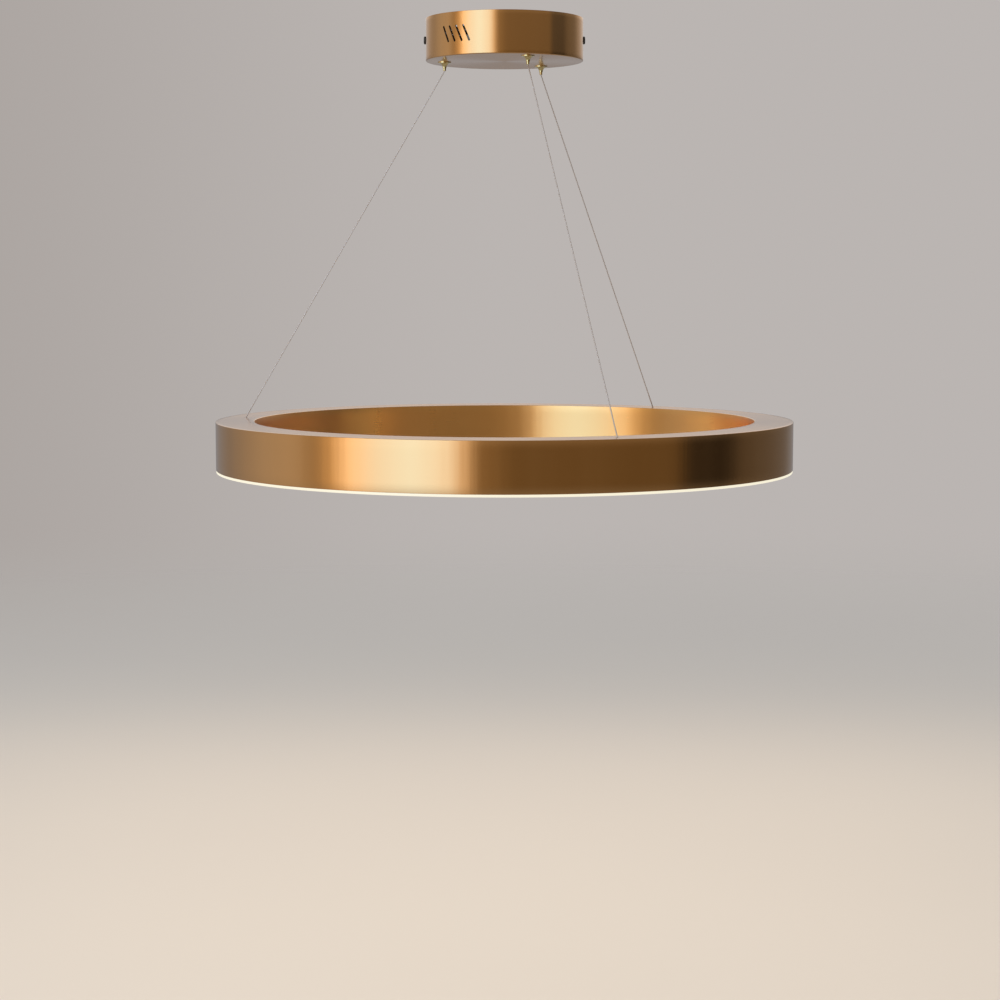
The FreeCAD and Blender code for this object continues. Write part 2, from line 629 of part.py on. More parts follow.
def make_driver_board():
    """Circuit board on the posts, with a transformer, a choke and two capacitors."""
    body = new_body("driver_board")
    under = "(driver_wall + board_post_height)"
    top = f"({under} + board_thickness)"
    inset = "(driver_wall + board_margin)"
    board = new_sketch(body, "XY_Plane", under)
    rectangle(board, f"{inset} - driver_length / 2", f"{inset} - driver_width / 2",
              f"driver_length / 2 - {inset}", f"driver_width / 2 - {inset}")
    pad(body, board, "board_thickness")
    wound = new_sketch(body, "XY_Plane", top)
    rectangle(wound, "-transformer_length / 2", "-transformer_width / 2",
              "transformer_length / 2", "transformer_width / 2")
    rectangle(wound, "choke_x - choke_length / 2", "-choke_width / 2",
              "choke_x + choke_length / 2", "choke_width / 2")
    pad(body, wound, f"driver_height - driver_lid_thickness - driver_lid_lip - board_headroom - {top}")
    cans = new_sketch(body, "XY_Plane", top)
    for y in ("capacitor_spacing / 2", "-capacitor_spacing / 2"):
        circle(cans, "capacitor_x", y, "capacitor_diameter / 2")
    pad(body, cans, "capacitor_height")
    place(body, x="driver_offset", z=FLOOR_TOP)


def make_driver_fixings():
    """Two weld studs on the canopy floor and the nuts that hold the driver's ears."""
    studs = new_body("driver_studs")
    stud = new_sketch(studs, "XY_Plane")
    circle(stud, "driver_length / 2 + ear_length / 2", "0", "stud_diameter / 2")
    repeat_round(studs, [pad(studs, stud, "stud_height")], "2")
    place(studs, x="driver_offset", z=FLOOR_TOP)
    nuts = new_body("driver_nuts")
    nut = new_sketch(nuts, "XY_Plane", "ear_thickness")
    hexagon(nut, "driver_length / 2 + ear_length / 2", "0", "driver_nut_across")
    circle(nut, "driver_length / 2 + ear_length / 2", "0", "stud_diameter / 2 + thread_clearance")
    repeat_round(nuts, [pad(nuts, nut, "driver_nut_height")], "2")
    place(nuts, x="driver_offset", z=FLOOR_TOP)


# ---------------------------------------------------------------- terminals and earth

POLES = ("-pole_pitch", "0", "pole_pitch")


def make_terminal_block():
    """Three-pole block under the bar: wire entries along Y, clamp screws from below."""
    body = new_body("terminal_block")
    block = new_sketch(body, "XY_Plane", "-block_height")
    rectangle(block, "-block_length / 2", "-block_depth / 2", "block_length / 2", "block_depth / 2")
    pad(body, block, "block_height")
    entries = new_sketch(body, "XZ_Plane")
    wells = new_sketch(body, "XY_Plane", "-block_height")
    for pole in POLES:
        circle(entries, pole, "-pole_drop", "pole_bore / 2")
        for row in ("clamp_row_offset", "-clamp_row_offset"):
            circle(wells, pole, row, "clamp_well_diameter / 2")
    cut(body, entries)
    cut(body, wells, "block_height - pole_drop", forwards=True)
    screw_hole = new_sketch(body, "XY_Plane")
    circle(screw_hole, "pole_pitch / 2", "0", "block_screw_diameter / 2 + hole_clearance")
    cut(body, screw_hole)
    place(body, x="block_x", z="-bar_thickness")


def make_block_screws():
    """Six clamp screws in the wells, and the screw that holds the block to the bar."""
    clamps = new_body("terminal_clamp_screws")
    heads = new_sketch(clamps, "XY_Plane", "-block_height")
    for pole in POLES:
        for row in ("clamp_row_offset", "-clamp_row_offset"):
            circle(heads, pole, row, "clamp_screw_diameter / 2")
    pad(clamps, heads, "block_height - pole_drop - mains_lead_diameter / 2 - lead_gap")
    place(clamps, x="block_x", z="-bar_thickness")
    screw = new_body("terminal_block_screw")
    revolve(screw, screw_outline("block_screw_diameter / 2", "block_height + bar_thickness - lead_gap",
                                 "block_screw_head_diameter / 2", "block_screw_head_height"))
    place(screw, x="block_x + pole_pitch / 2", z="-(bar_thickness + block_height)")


def make_earth_fixings():
    """Earth screw in the bar, earth stud and nut on the canopy floor, and both ring tags."""
    screw = new_body("bar_earth_screw")
    revolve(screw, screw_outline("earth_screw_diameter / 2", "bar_thickness + earth_tag_thickness - lead_gap",
                                 "earth_head_diameter / 2", "earth_head_height"))
    place(screw, x="earth_screw_x", z="-(bar_thickness + earth_tag_thickness)")
    stud = new_body("canopy_earth_stud")
    shank = new_sketch(stud, "XY_Plane")
    circle(shank, "0", "0", "earth_screw_diameter / 2")
    pad(stud, shank, "earth_stud_height")
    place(stud, "earth_stud_x", "earth_stud_y", FLOOR_TOP)
    nut = new_body("canopy_earth_nut")
    flats = new_sketch(nut, "XY_Plane", "earth_tag_thickness")
    hexagon(flats, "0", "0", "earth_nut_across")
    circle(flats, "0", "0", "earth_screw_diameter / 2 + thread_clearance")
    pad(nut, flats, "earth_nut_height")
    place(nut, "earth_stud_x", "earth_stud_y", FLOOR_TOP)
    tags = new_body("earth_tags")
    for x, y, level in (("earth_screw_x", "0", "-(bar_thickness + earth_tag_thickness)"),
                        ("earth_stud_x", "earth_stud_y", FLOOR_TOP)):
        ring = new_sketch(tags, "XY_Plane", level)
        circle(ring, x, y, "earth_tag_diameter / 2")
        circle(ring, x, y, "earth_screw_diameter / 2 + hole_clearance")
        pad(tags, ring, "earth_tag_thickness")


def make_canopy_leads():
    """Mains and earth leads from the block, and the driver's output leads to two wire tails.

    Each route's points between its two ends are chosen by hand: they pass over the driver and
    its leads, beside the grippers and inside the tabs.
    """
    block = size("block_x")
    pitch = size("pole_pitch")
    inside = size("block_depth") / 4
    level = -size("bar_thickness + pole_drop")
    input_end = size("driver_offset + driver_length / 2 + lead_gap")
    output_end = size("driver_offset - driver_length / 2 - lead_gap")
    side = size("driver_lead_offset")
    low = size(f"{FLOOR_TOP} + driver_lead_height")
    lead = size("mains_lead_diameter")
    tube("mains_lead_live", [
        Vector(block - pitch, -inside, level), Vector(block - pitch, -14, level), Vector(56, -20, -17),
        Vector(70, -20, -28), Vector(70, -side, low), Vector(input_end, -side, low),
    ], lead)
    tube("mains_lead_neutral", [
        Vector(block, -inside, level), Vector(block, -14, level), Vector(62, -16, -17),
        Vector(71, -8, -26), Vector(71, side, low), Vector(input_end, side, low),
    ], lead)
    tag_edge = size("earth_tag_diameter / 2 + tag_lead_gap")
    bar_tag = -size("bar_thickness + earth_tag_thickness / 2 + mains_lead_diameter / 2 + tag_lead_gap")
    tube("earth_lead_bar", [
        Vector(block + pitch, inside, level), Vector(block + pitch, 15, level), Vector(46, 21, -8.5),
        Vector(8, 20, -8), Vector(-30, 20, -8), Vector(size("earth_screw_x"), 14, -6),
        Vector(size("earth_screw_x"), tag_edge, bar_tag),
    ], lead)
    stud_x = size("earth_stud_x")
    stud_y = size("earth_stud_y")
    floor_tag = size(f"{FLOOR_TOP} + mains_lead_diameter / 2 + lead_gap")
    tube("earth_lead_canopy", [
        Vector(block + pitch, -inside, level), Vector(block + pitch, -26, level), Vector(42, -33, -15),
        Vector(14, -36, -27), Vector(2, -42, -37), Vector(stud_x + tag_edge + 8, stud_y, floor_tag),
        Vector(stud_x + tag_edge, stud_y, floor_tag),
    ], lead)
    routes = (
        ("dc_lead_negative", 1, -side, [Vector(-58, -5, -25), Vector(-68, -4, -16)]),
        ("dc_lead_positive", 2, side, [Vector(-53, 17, -27), Vector(-63, 21, -18)]),
    )
    for label, number, across, bends in routes:
        end, direction = tail_end(number)
        approach = end + direction * size("splice_length")
        tube(label, [
            Vector(output_end, across, low), Vector(-49, across, low), *bends, approach, end,
        ], lead)


# ---------------------------------------------------------------- grippers

def make_gripper(number):
    """One gripper: its threaded body, plunger, balls and cap, on their own axis."""
    stem_bore = "(plunger_stem_radius + running_clearance)"
    flare = "(gripper_rim + gripper_flange_radius - gripper_neck_radius)"
    body = new_body(f"gripper_body_{number}")
    revolve(body, [
        (stem_bore, "-trumpet_length"),
        ("gripper_neck_radius", "-trumpet_length"),
        ("gripper_neck_radius", f"-{flare}"),
        ("gripper_flange_radius", "-gripper_rim"),
        ("gripper_flange_radius", "0"),
        ("barrel_radius", "0"),
        ("barrel_radius", "barrel_length"),
        ("chamber_radius", "barrel_length"),
        ("chamber_radius", CONE_TOP),
        ("cone_low_radius", "shoulder_height"),
        (stem_bore, "shoulder_height"),
    ], arcs={2: ("gripper_flange_radius", f"-{flare}")})
    place_at_gripper(body, number)
    make_plunger(number)
    make_balls(number)
    make_cap(number)


def make_plunger(number):
    """Bored stem whose lower end is the nozzle and whose head is the cage of the balls."""
    tip = "-(trumpet_length + nozzle_reach)"
    bore = "(wire_diameter / 2 + wire_clearance)"
    shoulder = "(shoulder_height + running_clearance)"
    collar_top = "(plunger_head_top + plunger_collar_height)"
    body = new_body(f"gripper_plunger_{number}")
    revolve(body, [
        (bore, tip),
        ("plunger_stem_radius - plunger_chamfer", tip),
        ("plunger_stem_radius", f"{tip} + plunger_chamfer"),
        ("plunger_stem_radius", shoulder),
        ("plunger_head_radius", shoulder),
        ("plunger_head_radius", "plunger_head_top"),
        ("plunger_collar_radius", "plunger_head_top"),
        ("plunger_collar_radius", collar_top),
        (bore, collar_top),
    ])
    pocket = new_sketch(body, "YZ_Plane")
    circle(pocket, "0", BALL_HEIGHT, "ball_radius + running_clearance")
    repeat_round(body, [cut(body, pocket, "plunger_collar_radius", forwards=True)], "ball_count")
    place_at_gripper(body, number)


def make_balls(number):
    """Steel balls between the wire and the cone, one in each pocket of the plunger."""
    body = new_body(f"gripper_balls_{number}")
    ball = body.newObject("PartDesign::AdditiveSphere", "ball")
    ball.AttachmentSupport = (origin_feature(body, "XY_Plane"), [""])
    ball.MapMode = "FlatFace"
    ball.setExpression("Radius", bound("ball_radius"))
    ball.setExpression("AttachmentOffset.Base.x", bound(BALL_CIRCLE))
    ball.setExpression("AttachmentOffset.Base.z", bound(BALL_HEIGHT))
    repeat_round(body, [ball], "ball_count")
    place_at_gripper(body, number)


def make_cap(number):
    """Screwed plug that closes the barrel and holds the spring down."""
    bore = "(wire_diameter / 2 + wire_clearance)"
    plug = "(chamber_radius - thread_clearance)"
    low = "(barrel_length - cap_plug_depth)"
    top = "(barrel_length + cap_flange_height)"
    body = new_body(f"gripper_cap_{number}")
    revolve(body, [
        (bore, low), (plug, low), (plug, "barrel_length"), ("cap_flange_radius", "barrel_length"),
        ("cap_flange_radius", top), (bore, top),
    ])
    place_at_gripper(body, number)


def make_spring(number):
    """Coil spring between the plunger's collar and the cap, as one unbroken helix."""
    wire = size("spring_wire_diameter")
    radius = size("spring_radius")
    turns = size("spring_turns")
    play = size("running_clearance")
    low = size("plunger_head_top + plunger_collar_height") + wire / 2 + play
    high = size("barrel_length - cap_plug_depth") - wire / 2 - play
    pitch = (high - low) / turns
    helix = Part.makeHelix(pitch, high - low, radius)
    rise = math.atan2(pitch, 2 * math.pi * radius)
    heading = Vector(0, math.cos(rise), math.sin(rise))
    section = Part.Wire([Part.Circle(Vector(radius, 0, 0), heading, wire / 2).toShape()])
    spring = feature_from(f"gripper_spring_{number}", helix.makePipeShell([section], True, True))
    angle = size(wire_angle(number))
    seat = polar(size(GRIPPER_CIRCLE), angle, size(FLOOR_UNDERSIDE) + low)
    spring.Placement = Placement(seat, Rotation(Vector(0, 0, 1), angle))
    print(f"gripper_spring_{number}: least gap between turns {pitch * math.cos(rise) - wire:.2f}")


def make_gripper_fasteners():
    """Washers on the canopy floor and the nuts above them, one pair for each gripper."""
    washers = new_body("gripper_washers")
    ring = new_sketch(washers, "XY_Plane", "canopy_wall")
    circle(ring, GRIPPER_CIRCLE, "0", "washer_radius")
    circle(ring, GRIPPER_CIRCLE, "0", "barrel_radius + hole_clearance")
    repeat_round(washers, [pad(washers, ring, "washer_thickness")], "wire_count")
    place(washers, z=FLOOR_UNDERSIDE, turn="first_wire_angle")
    nuts = new_body("gripper_nuts")
    flats = new_sketch(nuts, "XY_Plane", "canopy_wall + washer_thickness")
    hexagon(flats, GRIPPER_CIRCLE, "0", "gripper_nut_across")
    circle(flats, GRIPPER_CIRCLE, "0", "barrel_radius + thread_clearance")
    repeat_round(nuts, [pad(nuts, flats, "gripper_nut_height")], "wire_count")
    place(nuts, z=FLOOR_UNDERSIDE, turn="first_wire_angle")


# ---------------------------------------------------------------- suspension wires

def make_suspension_wire(number):
    """Straight taut stretch from the nozzle's tip to the ring, cut level at both ends."""
    spread = f"({ANCHOR_CIRCLE} - {GRIPPER_CIRCLE})"
    fall = f"({NOZZLE_TIP} + ring_drop)"
    slope = f"atan({spread} / {fall})"
    spare = "(4 * wire_diameter)"
    rod = doc.addObject("Part::Cylinder", f"wire_{number}_rod")
    rod.Placement = Placement(Vector(), Rotation(Vector(0, 1, 0), 1))
    rod.setExpression("Radius", bound("wire_diameter / 2"))
    rod.setExpression("Height", bound(f"sqrt({spread}^2 + {fall}^2) + 2 * {spare}"))
    rod.setExpression("Placement.Base.x", bound(f"{ANCHOR_CIRCLE} + {spare} * sin({slope})"))
    rod.setExpression("Placement.Base.z", bound(f"-ring_drop - {spare} * cos({slope})"))
    rod.setExpression("Placement.Rotation.Angle", bound(f"-{slope}"))
    slab = doc.addObject("Part::Box", f"wire_{number}_reach")
    slab.setExpression("Length", bound("ring_diameter / 2"))
    slab.setExpression("Width", bound(f"2 * {spare}"))
    slab.setExpression("Height", bound(fall))
    slab.setExpression("Placement.Base.y", bound(f"-{spare}"))
    slab.setExpression("Placement.Base.z", bound("-ring_drop"))
    wire = doc.addObject("Part::Common", f"suspension_wire_{number}")
    wire.Label = f"suspension_wire_{number}"
    wire.Base = rod
    wire.Tool = slab
    wire.setExpression("Placement.Rotation.Angle", bound(wire_angle(number)))
    parts.append(wire)


def tail_route(number):
    """Points of a wire's tail: up through the gripper, then round the canopy or to its middle."""
    angle = size(wire_angle(number))
    depth = -size("tail_depth")
    points = [
        polar(size(GRIPPER_CIRCLE), angle, size(NOZZLE_TIP)),
        polar(size(GRIPPER_CIRCLE), angle, depth),
    ]
    if number == 3:
        points.append(polar(size("short_tail_radius"), angle + size("short_tail_turn"), depth))
        return points
    sense = -1 if number == 1 else 1
    steps = int(size("tail_steps"))
    for step in range(1, steps + 1):
        turn = sense * size("tail_sweep") * step / steps
        points.append(polar(size(TAIL_CIRCLE), angle + turn, depth))
    return points


def tail_end(number):
    """Where a wire's tail ends and the direction it runs in there."""
    points = tail_route(number)
    return points[-1], (points[-1] - points[-2]).normalize()


def make_wire_tail(number):
    """The wire above the nozzle's tip, inside the gripper and the canopy."""
    tube(f"wire_tail_{number}", tail_route(number), size("wire_diameter"), size("tail_bend_radius"))


def make_wire_splices():
    """Crimped sleeves in line between two wire tails and the driver's output leads."""
    half = size("splice_length") / 2
    clearance = size("thread_clearance")
    sleeves = []
    for number in (1, 2):
        end, direction = tail_end(number)
        start = end - direction * half
        sleeve = Part.makeCylinder(size("splice_diameter") / 2, 2 * half, start, direction)
        tail_bore = Part.makeCylinder(size("wire_diameter") / 2 + clearance, half, start, direction)
        lead_bore = Part.makeCylinder(size("mains_lead_diameter") / 2 + clearance, half, end, direction)
        sleeves.append(sleeve.cut(tail_bore).cut(lead_bore))
    feature_from("wire_splices", Part.makeCompound(sleeves))


# ---------------------------------------------------------------- ring

def make_ring_channel():
    """Rolled profile, open below: two walls, a top, tray ribs and snap grooves."""
    body = new_body("ring_channel")
    foot = "-ring_height"
    groove_low = "-(ring_height - groove_low)"
    groove_high = "-(ring_height - groove_high)"
    rib_low = "-(rib_depth + rib_thickness)"
    outer_face = f"({RING_OUTER} - ring_wall)"
    inner_face = f"({RING_INNER} + ring_wall)"
    outer_side = [
        (f"{RING_OUTER} - ring_chamfer", "0"),
        (RING_OUTER, "-ring_chamfer"),
        (RING_OUTER, foot),
        (outer_face, foot),
        (outer_face, groove_low),
        (f"{outer_face} + groove_depth", groove_low),
        (f"{outer_face} + groove_depth", groove_high),
        (outer_face, groove_high),
        (outer_face, rib_low),
        (f"{outer_face} - rib_reach", rib_low),
        (f"{outer_face} - rib_reach", "-rib_depth"),
        (outer_face, "-rib_depth"),
        (outer_face, "-ring_wall"),
    ]
    inner_side = [
        (inner_face, "-ring_wall"),
        (inner_face, "-rib_depth"),
        (f"{inner_face} + rib_reach", "-rib_depth"),
        (f"{inner_face} + rib_reach", rib_low),
        (inner_face, rib_low),
        (inner_face, groove_high),
        (f"{inner_face} - groove_depth", groove_high),
        (f"{inner_face} - groove_depth", groove_low),
        (inner_face, groove_low),
        (inner_face, foot),
        (RING_INNER, foot),
        (RING_INNER, "-ring_chamfer"),
        (f"{RING_INNER} + ring_chamfer", "0"),
    ]
    revolve(body, outer_side + inner_side)
    wire_hole = new_sketch(body, "XY_Plane")
    circle(wire_hole, ANCHOR_CIRCLE, "0", "bush_stem_radius + thread_clearance")
    repeat_round(body, [cut(body, wire_hole, "ring_wall")], "wire_count")
    threads = new_sketch(body, "XY_Plane", rib_low)
    tray_screw_circles(threads, "tray_screw_diameter / 2 + thread_clearance")
    repeat_round(body, [cut(body, threads, "rib_thickness", forwards=True)], "tray_screw_count")
    place(body, z="-ring_drop", turn="first_wire_angle")


def tray_screw_circles(sketch, radius):
    """A circle on each rib, half a screw pitch away from the first wire."""
    half_pitch = "(180 / tray_screw_count)"
    outer_rib = f"({RING_OUTER} - ring_wall - rib_reach / 2)"
    inner_rib = f"({RING_INNER} + ring_wall + rib_reach / 2)"
    for reach in (outer_rib, inner_rib):
        circle(sketch, f"{reach} * cos({half_pitch})", f"{reach} * sin({half_pitch})", radius)


def make_wire_anchors():
    """In the ring: a flanged bush under each wire hole and a ferrule crimped on each wire."""
    bushes = new_body("anchor_bushes")
    bore = "(wire_diameter / 2 + wire_clearance)"
    stem = new_sketch(bushes, "XY_Plane", "-ring_wall")
    circle(stem, ANCHOR_CIRCLE, "0", "bush_stem_radius")
    circle(stem, ANCHOR_CIRCLE, "0", bore)
    flange = new_sketch(bushes, "XY_Plane", "-(ring_wall + bush_flange_thickness)")
    circle(flange, ANCHOR_CIRCLE, "0", "bush_flange_radius")
    circle(flange, ANCHOR_CIRCLE, "0", bore)
    features = [pad(bushes, stem, "ring_wall"), pad(bushes, flange, "bush_flange_thickness")]
    repeat_round(bushes, features, "wire_count")
    place(bushes, z="-ring_drop", turn="first_wire_angle")
    ferrules = new_body("wire_ferrules")
    top = "(ring_wall + bush_flange_thickness)"
    halves = []
    for level, diameter in ((f"-({top} + ferrule_length / 2)", "wire_diameter"),
                            (f"-({top} + ferrule_length)", "strip_lead_diameter")):
        half = new_sketch(ferrules, "XY_Plane", level)
        circle(half, ANCHOR_CIRCLE, "0", "ferrule_radius")
        circle(half, ANCHOR_CIRCLE, "0", f"{diameter} / 2 + thread_clearance")
        halves.append(pad(ferrules, half, "ferrule_length / 2"))
    repeat_round(ferrules, halves, "wire_count")
    place(ferrules, z="-ring_drop", turn="first_wire_angle")


def make_wire_end(number):
    """The wire below the ring's top, down to the middle of its ferrule."""
    end = doc.addObject("Part::Cylinder", f"wire_end_{number}")
    end.Label = f"wire_end_{number}"
    reach = "(ring_wall + bush_flange_thickness + ferrule_length / 2)"
    angle = wire_angle(number)
    end.setExpression("Radius", bound("wire_diameter / 2"))
    end.setExpression("Height", bound(reach))
    place(end, f"{ANCHOR_CIRCLE} * cos({angle})", f"{ANCHOR_CIRCLE} * sin({angle})",
          f"-(ring_drop + {reach})", angle)
    parts.append(end)


def make_led_tray():
    """Flat aluminium ring under the ribs. It carries the strip and spreads its heat."""
    body = new_body("led_tray")
    ring = new_sketch(body, "XY_Plane", STRIP_TOP)
    circle(ring, "0", "0", f"{RING_OUTER} - ring_wall - tray_edge_gap")
    circle(ring, "0", "0", f"{RING_INNER} + ring_wall + tray_edge_gap")
    pad(body, ring, "tray_thickness")
    screw_holes = new_sketch(body, "XY_Plane", STRIP_TOP)
    tray_screw_circles(screw_holes, "tray_screw_diameter / 2 + hole_clearance")
    repeat_round(body, [cut(body, screw_holes, "tray_thickness", forwards=True)], "tray_screw_count")
    lead_hole = new_sketch(body, "XY_Plane", STRIP_TOP)
    circle(lead_hole, STRIP_LEAD_X, "strip_lead_shift", "strip_lead_diameter / 2 + 2 * hole_clearance")
    repeat_round(body, [cut(body, lead_hole, "tray_thickness", forwards=True)], "2", WIRE_STEP)
    place(body, z="-ring_drop", turn="first_wire_angle")


def make_tray_screws():
    """Pan head screws up through the tray into both ribs."""
    body = new_body("tray_screws")
    heads = new_sketch(body, "XY_Plane", f"{STRIP_TOP} - tray_screw_head_height")
    tray_screw_circles(heads, "tray_screw_head_diameter / 2")
    shanks = new_sketch(body, "XY_Plane", STRIP_TOP)
    tray_screw_circles(shanks, "tray_screw_diameter / 2")
    head = pad(body, heads, "tray_screw_head_height")
    shank = pad(body, shanks, "tray_thickness + rib_thickness")
    repeat_round(body, [head, shank], "tray_screw_count")
    place(body, z="-ring_drop", turn="first_wire_angle")


def make_led_strip():
    """Flexible circuit strip under the tray, open at one joint, with its LEDs below."""
    strip = new_body("led_strip")
    inner = f"({RING_MIDDLE} - strip_width / 2)"
    outer = f"({RING_MIDDLE} + strip_width / 2)"
    low = f"({STRIP_TOP} - strip_thickness)"
    revolve(strip, [(inner, low), (outer, low), (outer, STRIP_TOP), (inner, STRIP_TOP)],
            angle="360 - strip_gap_angle")
    place(strip, z="-ring_drop", turn="strip_gap_angle / 2")
    chips = new_body("led_chips")
    chip = new_sketch(chips, "XY_Plane", f"{low} - chip_height")
    rectangle(chip, f"{RING_MIDDLE} - chip_length / 2", "-chip_width / 2",
              f"{RING_MIDDLE} + chip_length / 2", "chip_width / 2")
    repeat_round(chips, [pad(chips, chip, "chip_height")], "chip_count")
    place(chips, z="-ring_drop", turn="180 / chip_count")


def make_strip_leads():
    """From the ferrules of two wires, sideways and down through the tray to the strip."""
    level = -size("ring_drop + ring_wall + bush_flange_thickness + ferrule_length / 2")
    strip = -size("ring_drop") + size(STRIP_TOP)
    anchor = size(ANCHOR_CIRCLE)
    hole_x = size(STRIP_LEAD_X)
    shift = size("strip_lead_shift")
    turning = level - size("ferrule_length")
    fallen = turning - size("strip_lead_fall")
    for label, number in (("strip_lead_negative", 1), ("strip_lead_positive", 2)):
        turn = Rotation(Vector(0, 0, 1), size(wire_angle(number)))
        route = [
            Vector(anchor, 0, level), Vector(anchor, 0, turning),
            Vector(hole_x, shift, fallen), Vector(hole_x, shift, strip + size("lead_gap")),
        ]
        tube(label, [turn.multVec(point) for point in route], size("strip_lead_diameter"))


def make_diffuser():
    """Opal ring under the metal, with two snap legs whose barbs sit in the grooves."""
    body = new_body("diffuser")
    plate_low = "-(ring_height + diffuser_thickness)"
    plate_top = "-ring_height"
    leg_top = "-(ring_height - diffuser_leg_height)"
    barb_low = "-(ring_height - groove_low - barb_play)"
    barb_high = "-(ring_height - groove_high + barb_play)"
    outer_leg = f"({RING_OUTER} - ring_wall - diffuser_leg_gap)"
    inner_leg = f"({RING_INNER} + ring_wall + diffuser_leg_gap)"
    outer_side = [
        (f"{RING_OUTER} - diffuser_inset", plate_low),
        (f"{RING_OUTER} - diffuser_inset", plate_top),
        (outer_leg, plate_top),
        (outer_leg, barb_low),
        (f"{outer_leg} + barb_reach", barb_low),
        (f"{outer_leg} + barb_reach", barb_high),
        (outer_leg, barb_high),
        (outer_leg, leg_top),
        (f"{outer_leg} - diffuser_leg_thickness", leg_top),
        (f"{outer_leg} - diffuser_leg_thickness", plate_top),
    ]
    inner_side = [
        (f"{inner_leg} + diffuser_leg_thickness", plate_top),
        (f"{inner_leg} + diffuser_leg_thickness", leg_top),
        (inner_leg, leg_top),
        (inner_leg, barb_high),
        (f"{inner_leg} - barb_reach", barb_high),
        (f"{inner_leg} - barb_reach", barb_low),
        (inner_leg, barb_low),
        (inner_leg, plate_top),
        (f"{RING_INNER} + diffuser_inset", plate_top),
        (f"{RING_INNER} + diffuser_inset", plate_low),
    ]
    revolve(body, outer_side + inner_side)
    place(body, z="-ring_drop")


# ---------------------------------------------------------------- the lamp

make_mounting_bar()
make_cable_grommet()
make_canopy_cover()
make_side_screws()
make_driver_case()
make_driver_lid()
make_driver_board()
make_driver_fixings()
make_terminal_block()
make_block_screws()
make_earth_fixings()
make_canopy_leads()
make_gripper_fasteners()
make_ring_channel()
make_wire_anchors()
make_led_tray()
make_tray_screws()
make_led_strip()
make_strip_leads()
make_diffuser()
for wire_number in range(1, int(size("wire_count")) + 1):
    make_gripper(wire_number)
    make_spring(wire_number)
    make_wire_tail(wire_number)
    make_suspension_wire(wire_number)
    make_wire_end(wire_number)
make_wire_splices()

doc.recompute()

for item in doc.Objects:
    if "Invalid" in item.State or "Error" in item.State:
        raise ValueError(f"{item.Label} did not compute: {item.State}")
for part in parts:
    if part.Shape.isNull() or not part.Shape.isValid() or not part.Shape.Solids:
        raise ValueError(f"{part.Label} has no valid solid")

os.makedirs("parts", exist_ok=True)
for part in parts:
    part.Shape.exportStep(f"parts/{part.Label}.step")
print(f"{len(parts)} sub-parts written")
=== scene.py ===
"""Looks of the LED ring chandelier: its visible pieces and finishes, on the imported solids.

Lengths are in metres. The origin is on the ceiling at the lamp's axis, Z points up, and the side
that faces the viewer looks along -Y.
"""

import json
import math
import bpy
import numpy as np
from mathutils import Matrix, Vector


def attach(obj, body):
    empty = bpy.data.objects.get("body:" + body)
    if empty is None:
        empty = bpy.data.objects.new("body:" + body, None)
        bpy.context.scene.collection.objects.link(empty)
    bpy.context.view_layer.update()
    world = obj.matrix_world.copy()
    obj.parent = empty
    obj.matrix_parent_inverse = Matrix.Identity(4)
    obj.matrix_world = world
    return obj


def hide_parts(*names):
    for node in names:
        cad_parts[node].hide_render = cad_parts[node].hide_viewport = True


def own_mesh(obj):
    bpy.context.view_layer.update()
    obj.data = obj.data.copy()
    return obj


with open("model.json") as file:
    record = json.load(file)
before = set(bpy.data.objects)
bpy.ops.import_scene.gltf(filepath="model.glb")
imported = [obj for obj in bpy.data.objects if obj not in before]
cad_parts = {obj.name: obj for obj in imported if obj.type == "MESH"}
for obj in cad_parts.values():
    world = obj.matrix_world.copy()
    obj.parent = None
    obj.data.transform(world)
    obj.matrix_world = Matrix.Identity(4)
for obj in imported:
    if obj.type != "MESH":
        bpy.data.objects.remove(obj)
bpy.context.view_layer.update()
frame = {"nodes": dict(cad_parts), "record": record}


# ---------------------------------------------------------------- view

# The view from 2.2 m in front of the lamp, from a height between the canopy and the ring, and
# turned a little down towards the floor.
FOCAL_LENGTH = 76.55
SENSOR_WIDTH = 36
VIEW_PLACE = (-0.0046, -2.224, -0.2707)
VIEW_TURN = (math.radians(90 - 5.83), 0, 0)

lens = bpy.data.cameras.new("view")
lens.lens = FOCAL_LENGTH
lens.sensor_width = SENSOR_WIDTH
camera = bpy.data.objects.new("view", lens)
camera.location = VIEW_PLACE
camera.rotation_euler = VIEW_TURN
bpy.context.scene.collection.objects.link(camera)
bpy.context.scene.camera = camera
bpy.context.scene.view_settings.view_transform = "Standard"


# ---------------------------------------------------------------- suspension wires

# Three ropes of six steel strands, pulled straight by the ring. Each leaves the nozzle of its
# gripper and ends in the ring's top. When the ring is pushed up, the loose wire goes up through
# the gripper.
WIRE_RADIUS = 0.0006
WIRE_LAY = 0.0085
STRANDS = 6
GROOVE_SHARE = 0.12
WIRE_STEPS = 840
WIRE_COLUMNS = 24
WIRE_ANGLES = [math.radians(-68 + 120 * number) for number in range(3)]
GRIPPER_RADIUS = 0.0625
NOZZLE_TIP = -0.0528
ANCHOR_RADIUS = 0.278
RING_TOP = -0.413
GRIMY_STEEL = (0.60, 0.51, 0.46, 1)
CLEAN_STEEL = (0.80, 0.72, 0.66, 1)
MERGE_SCALE = 1e7


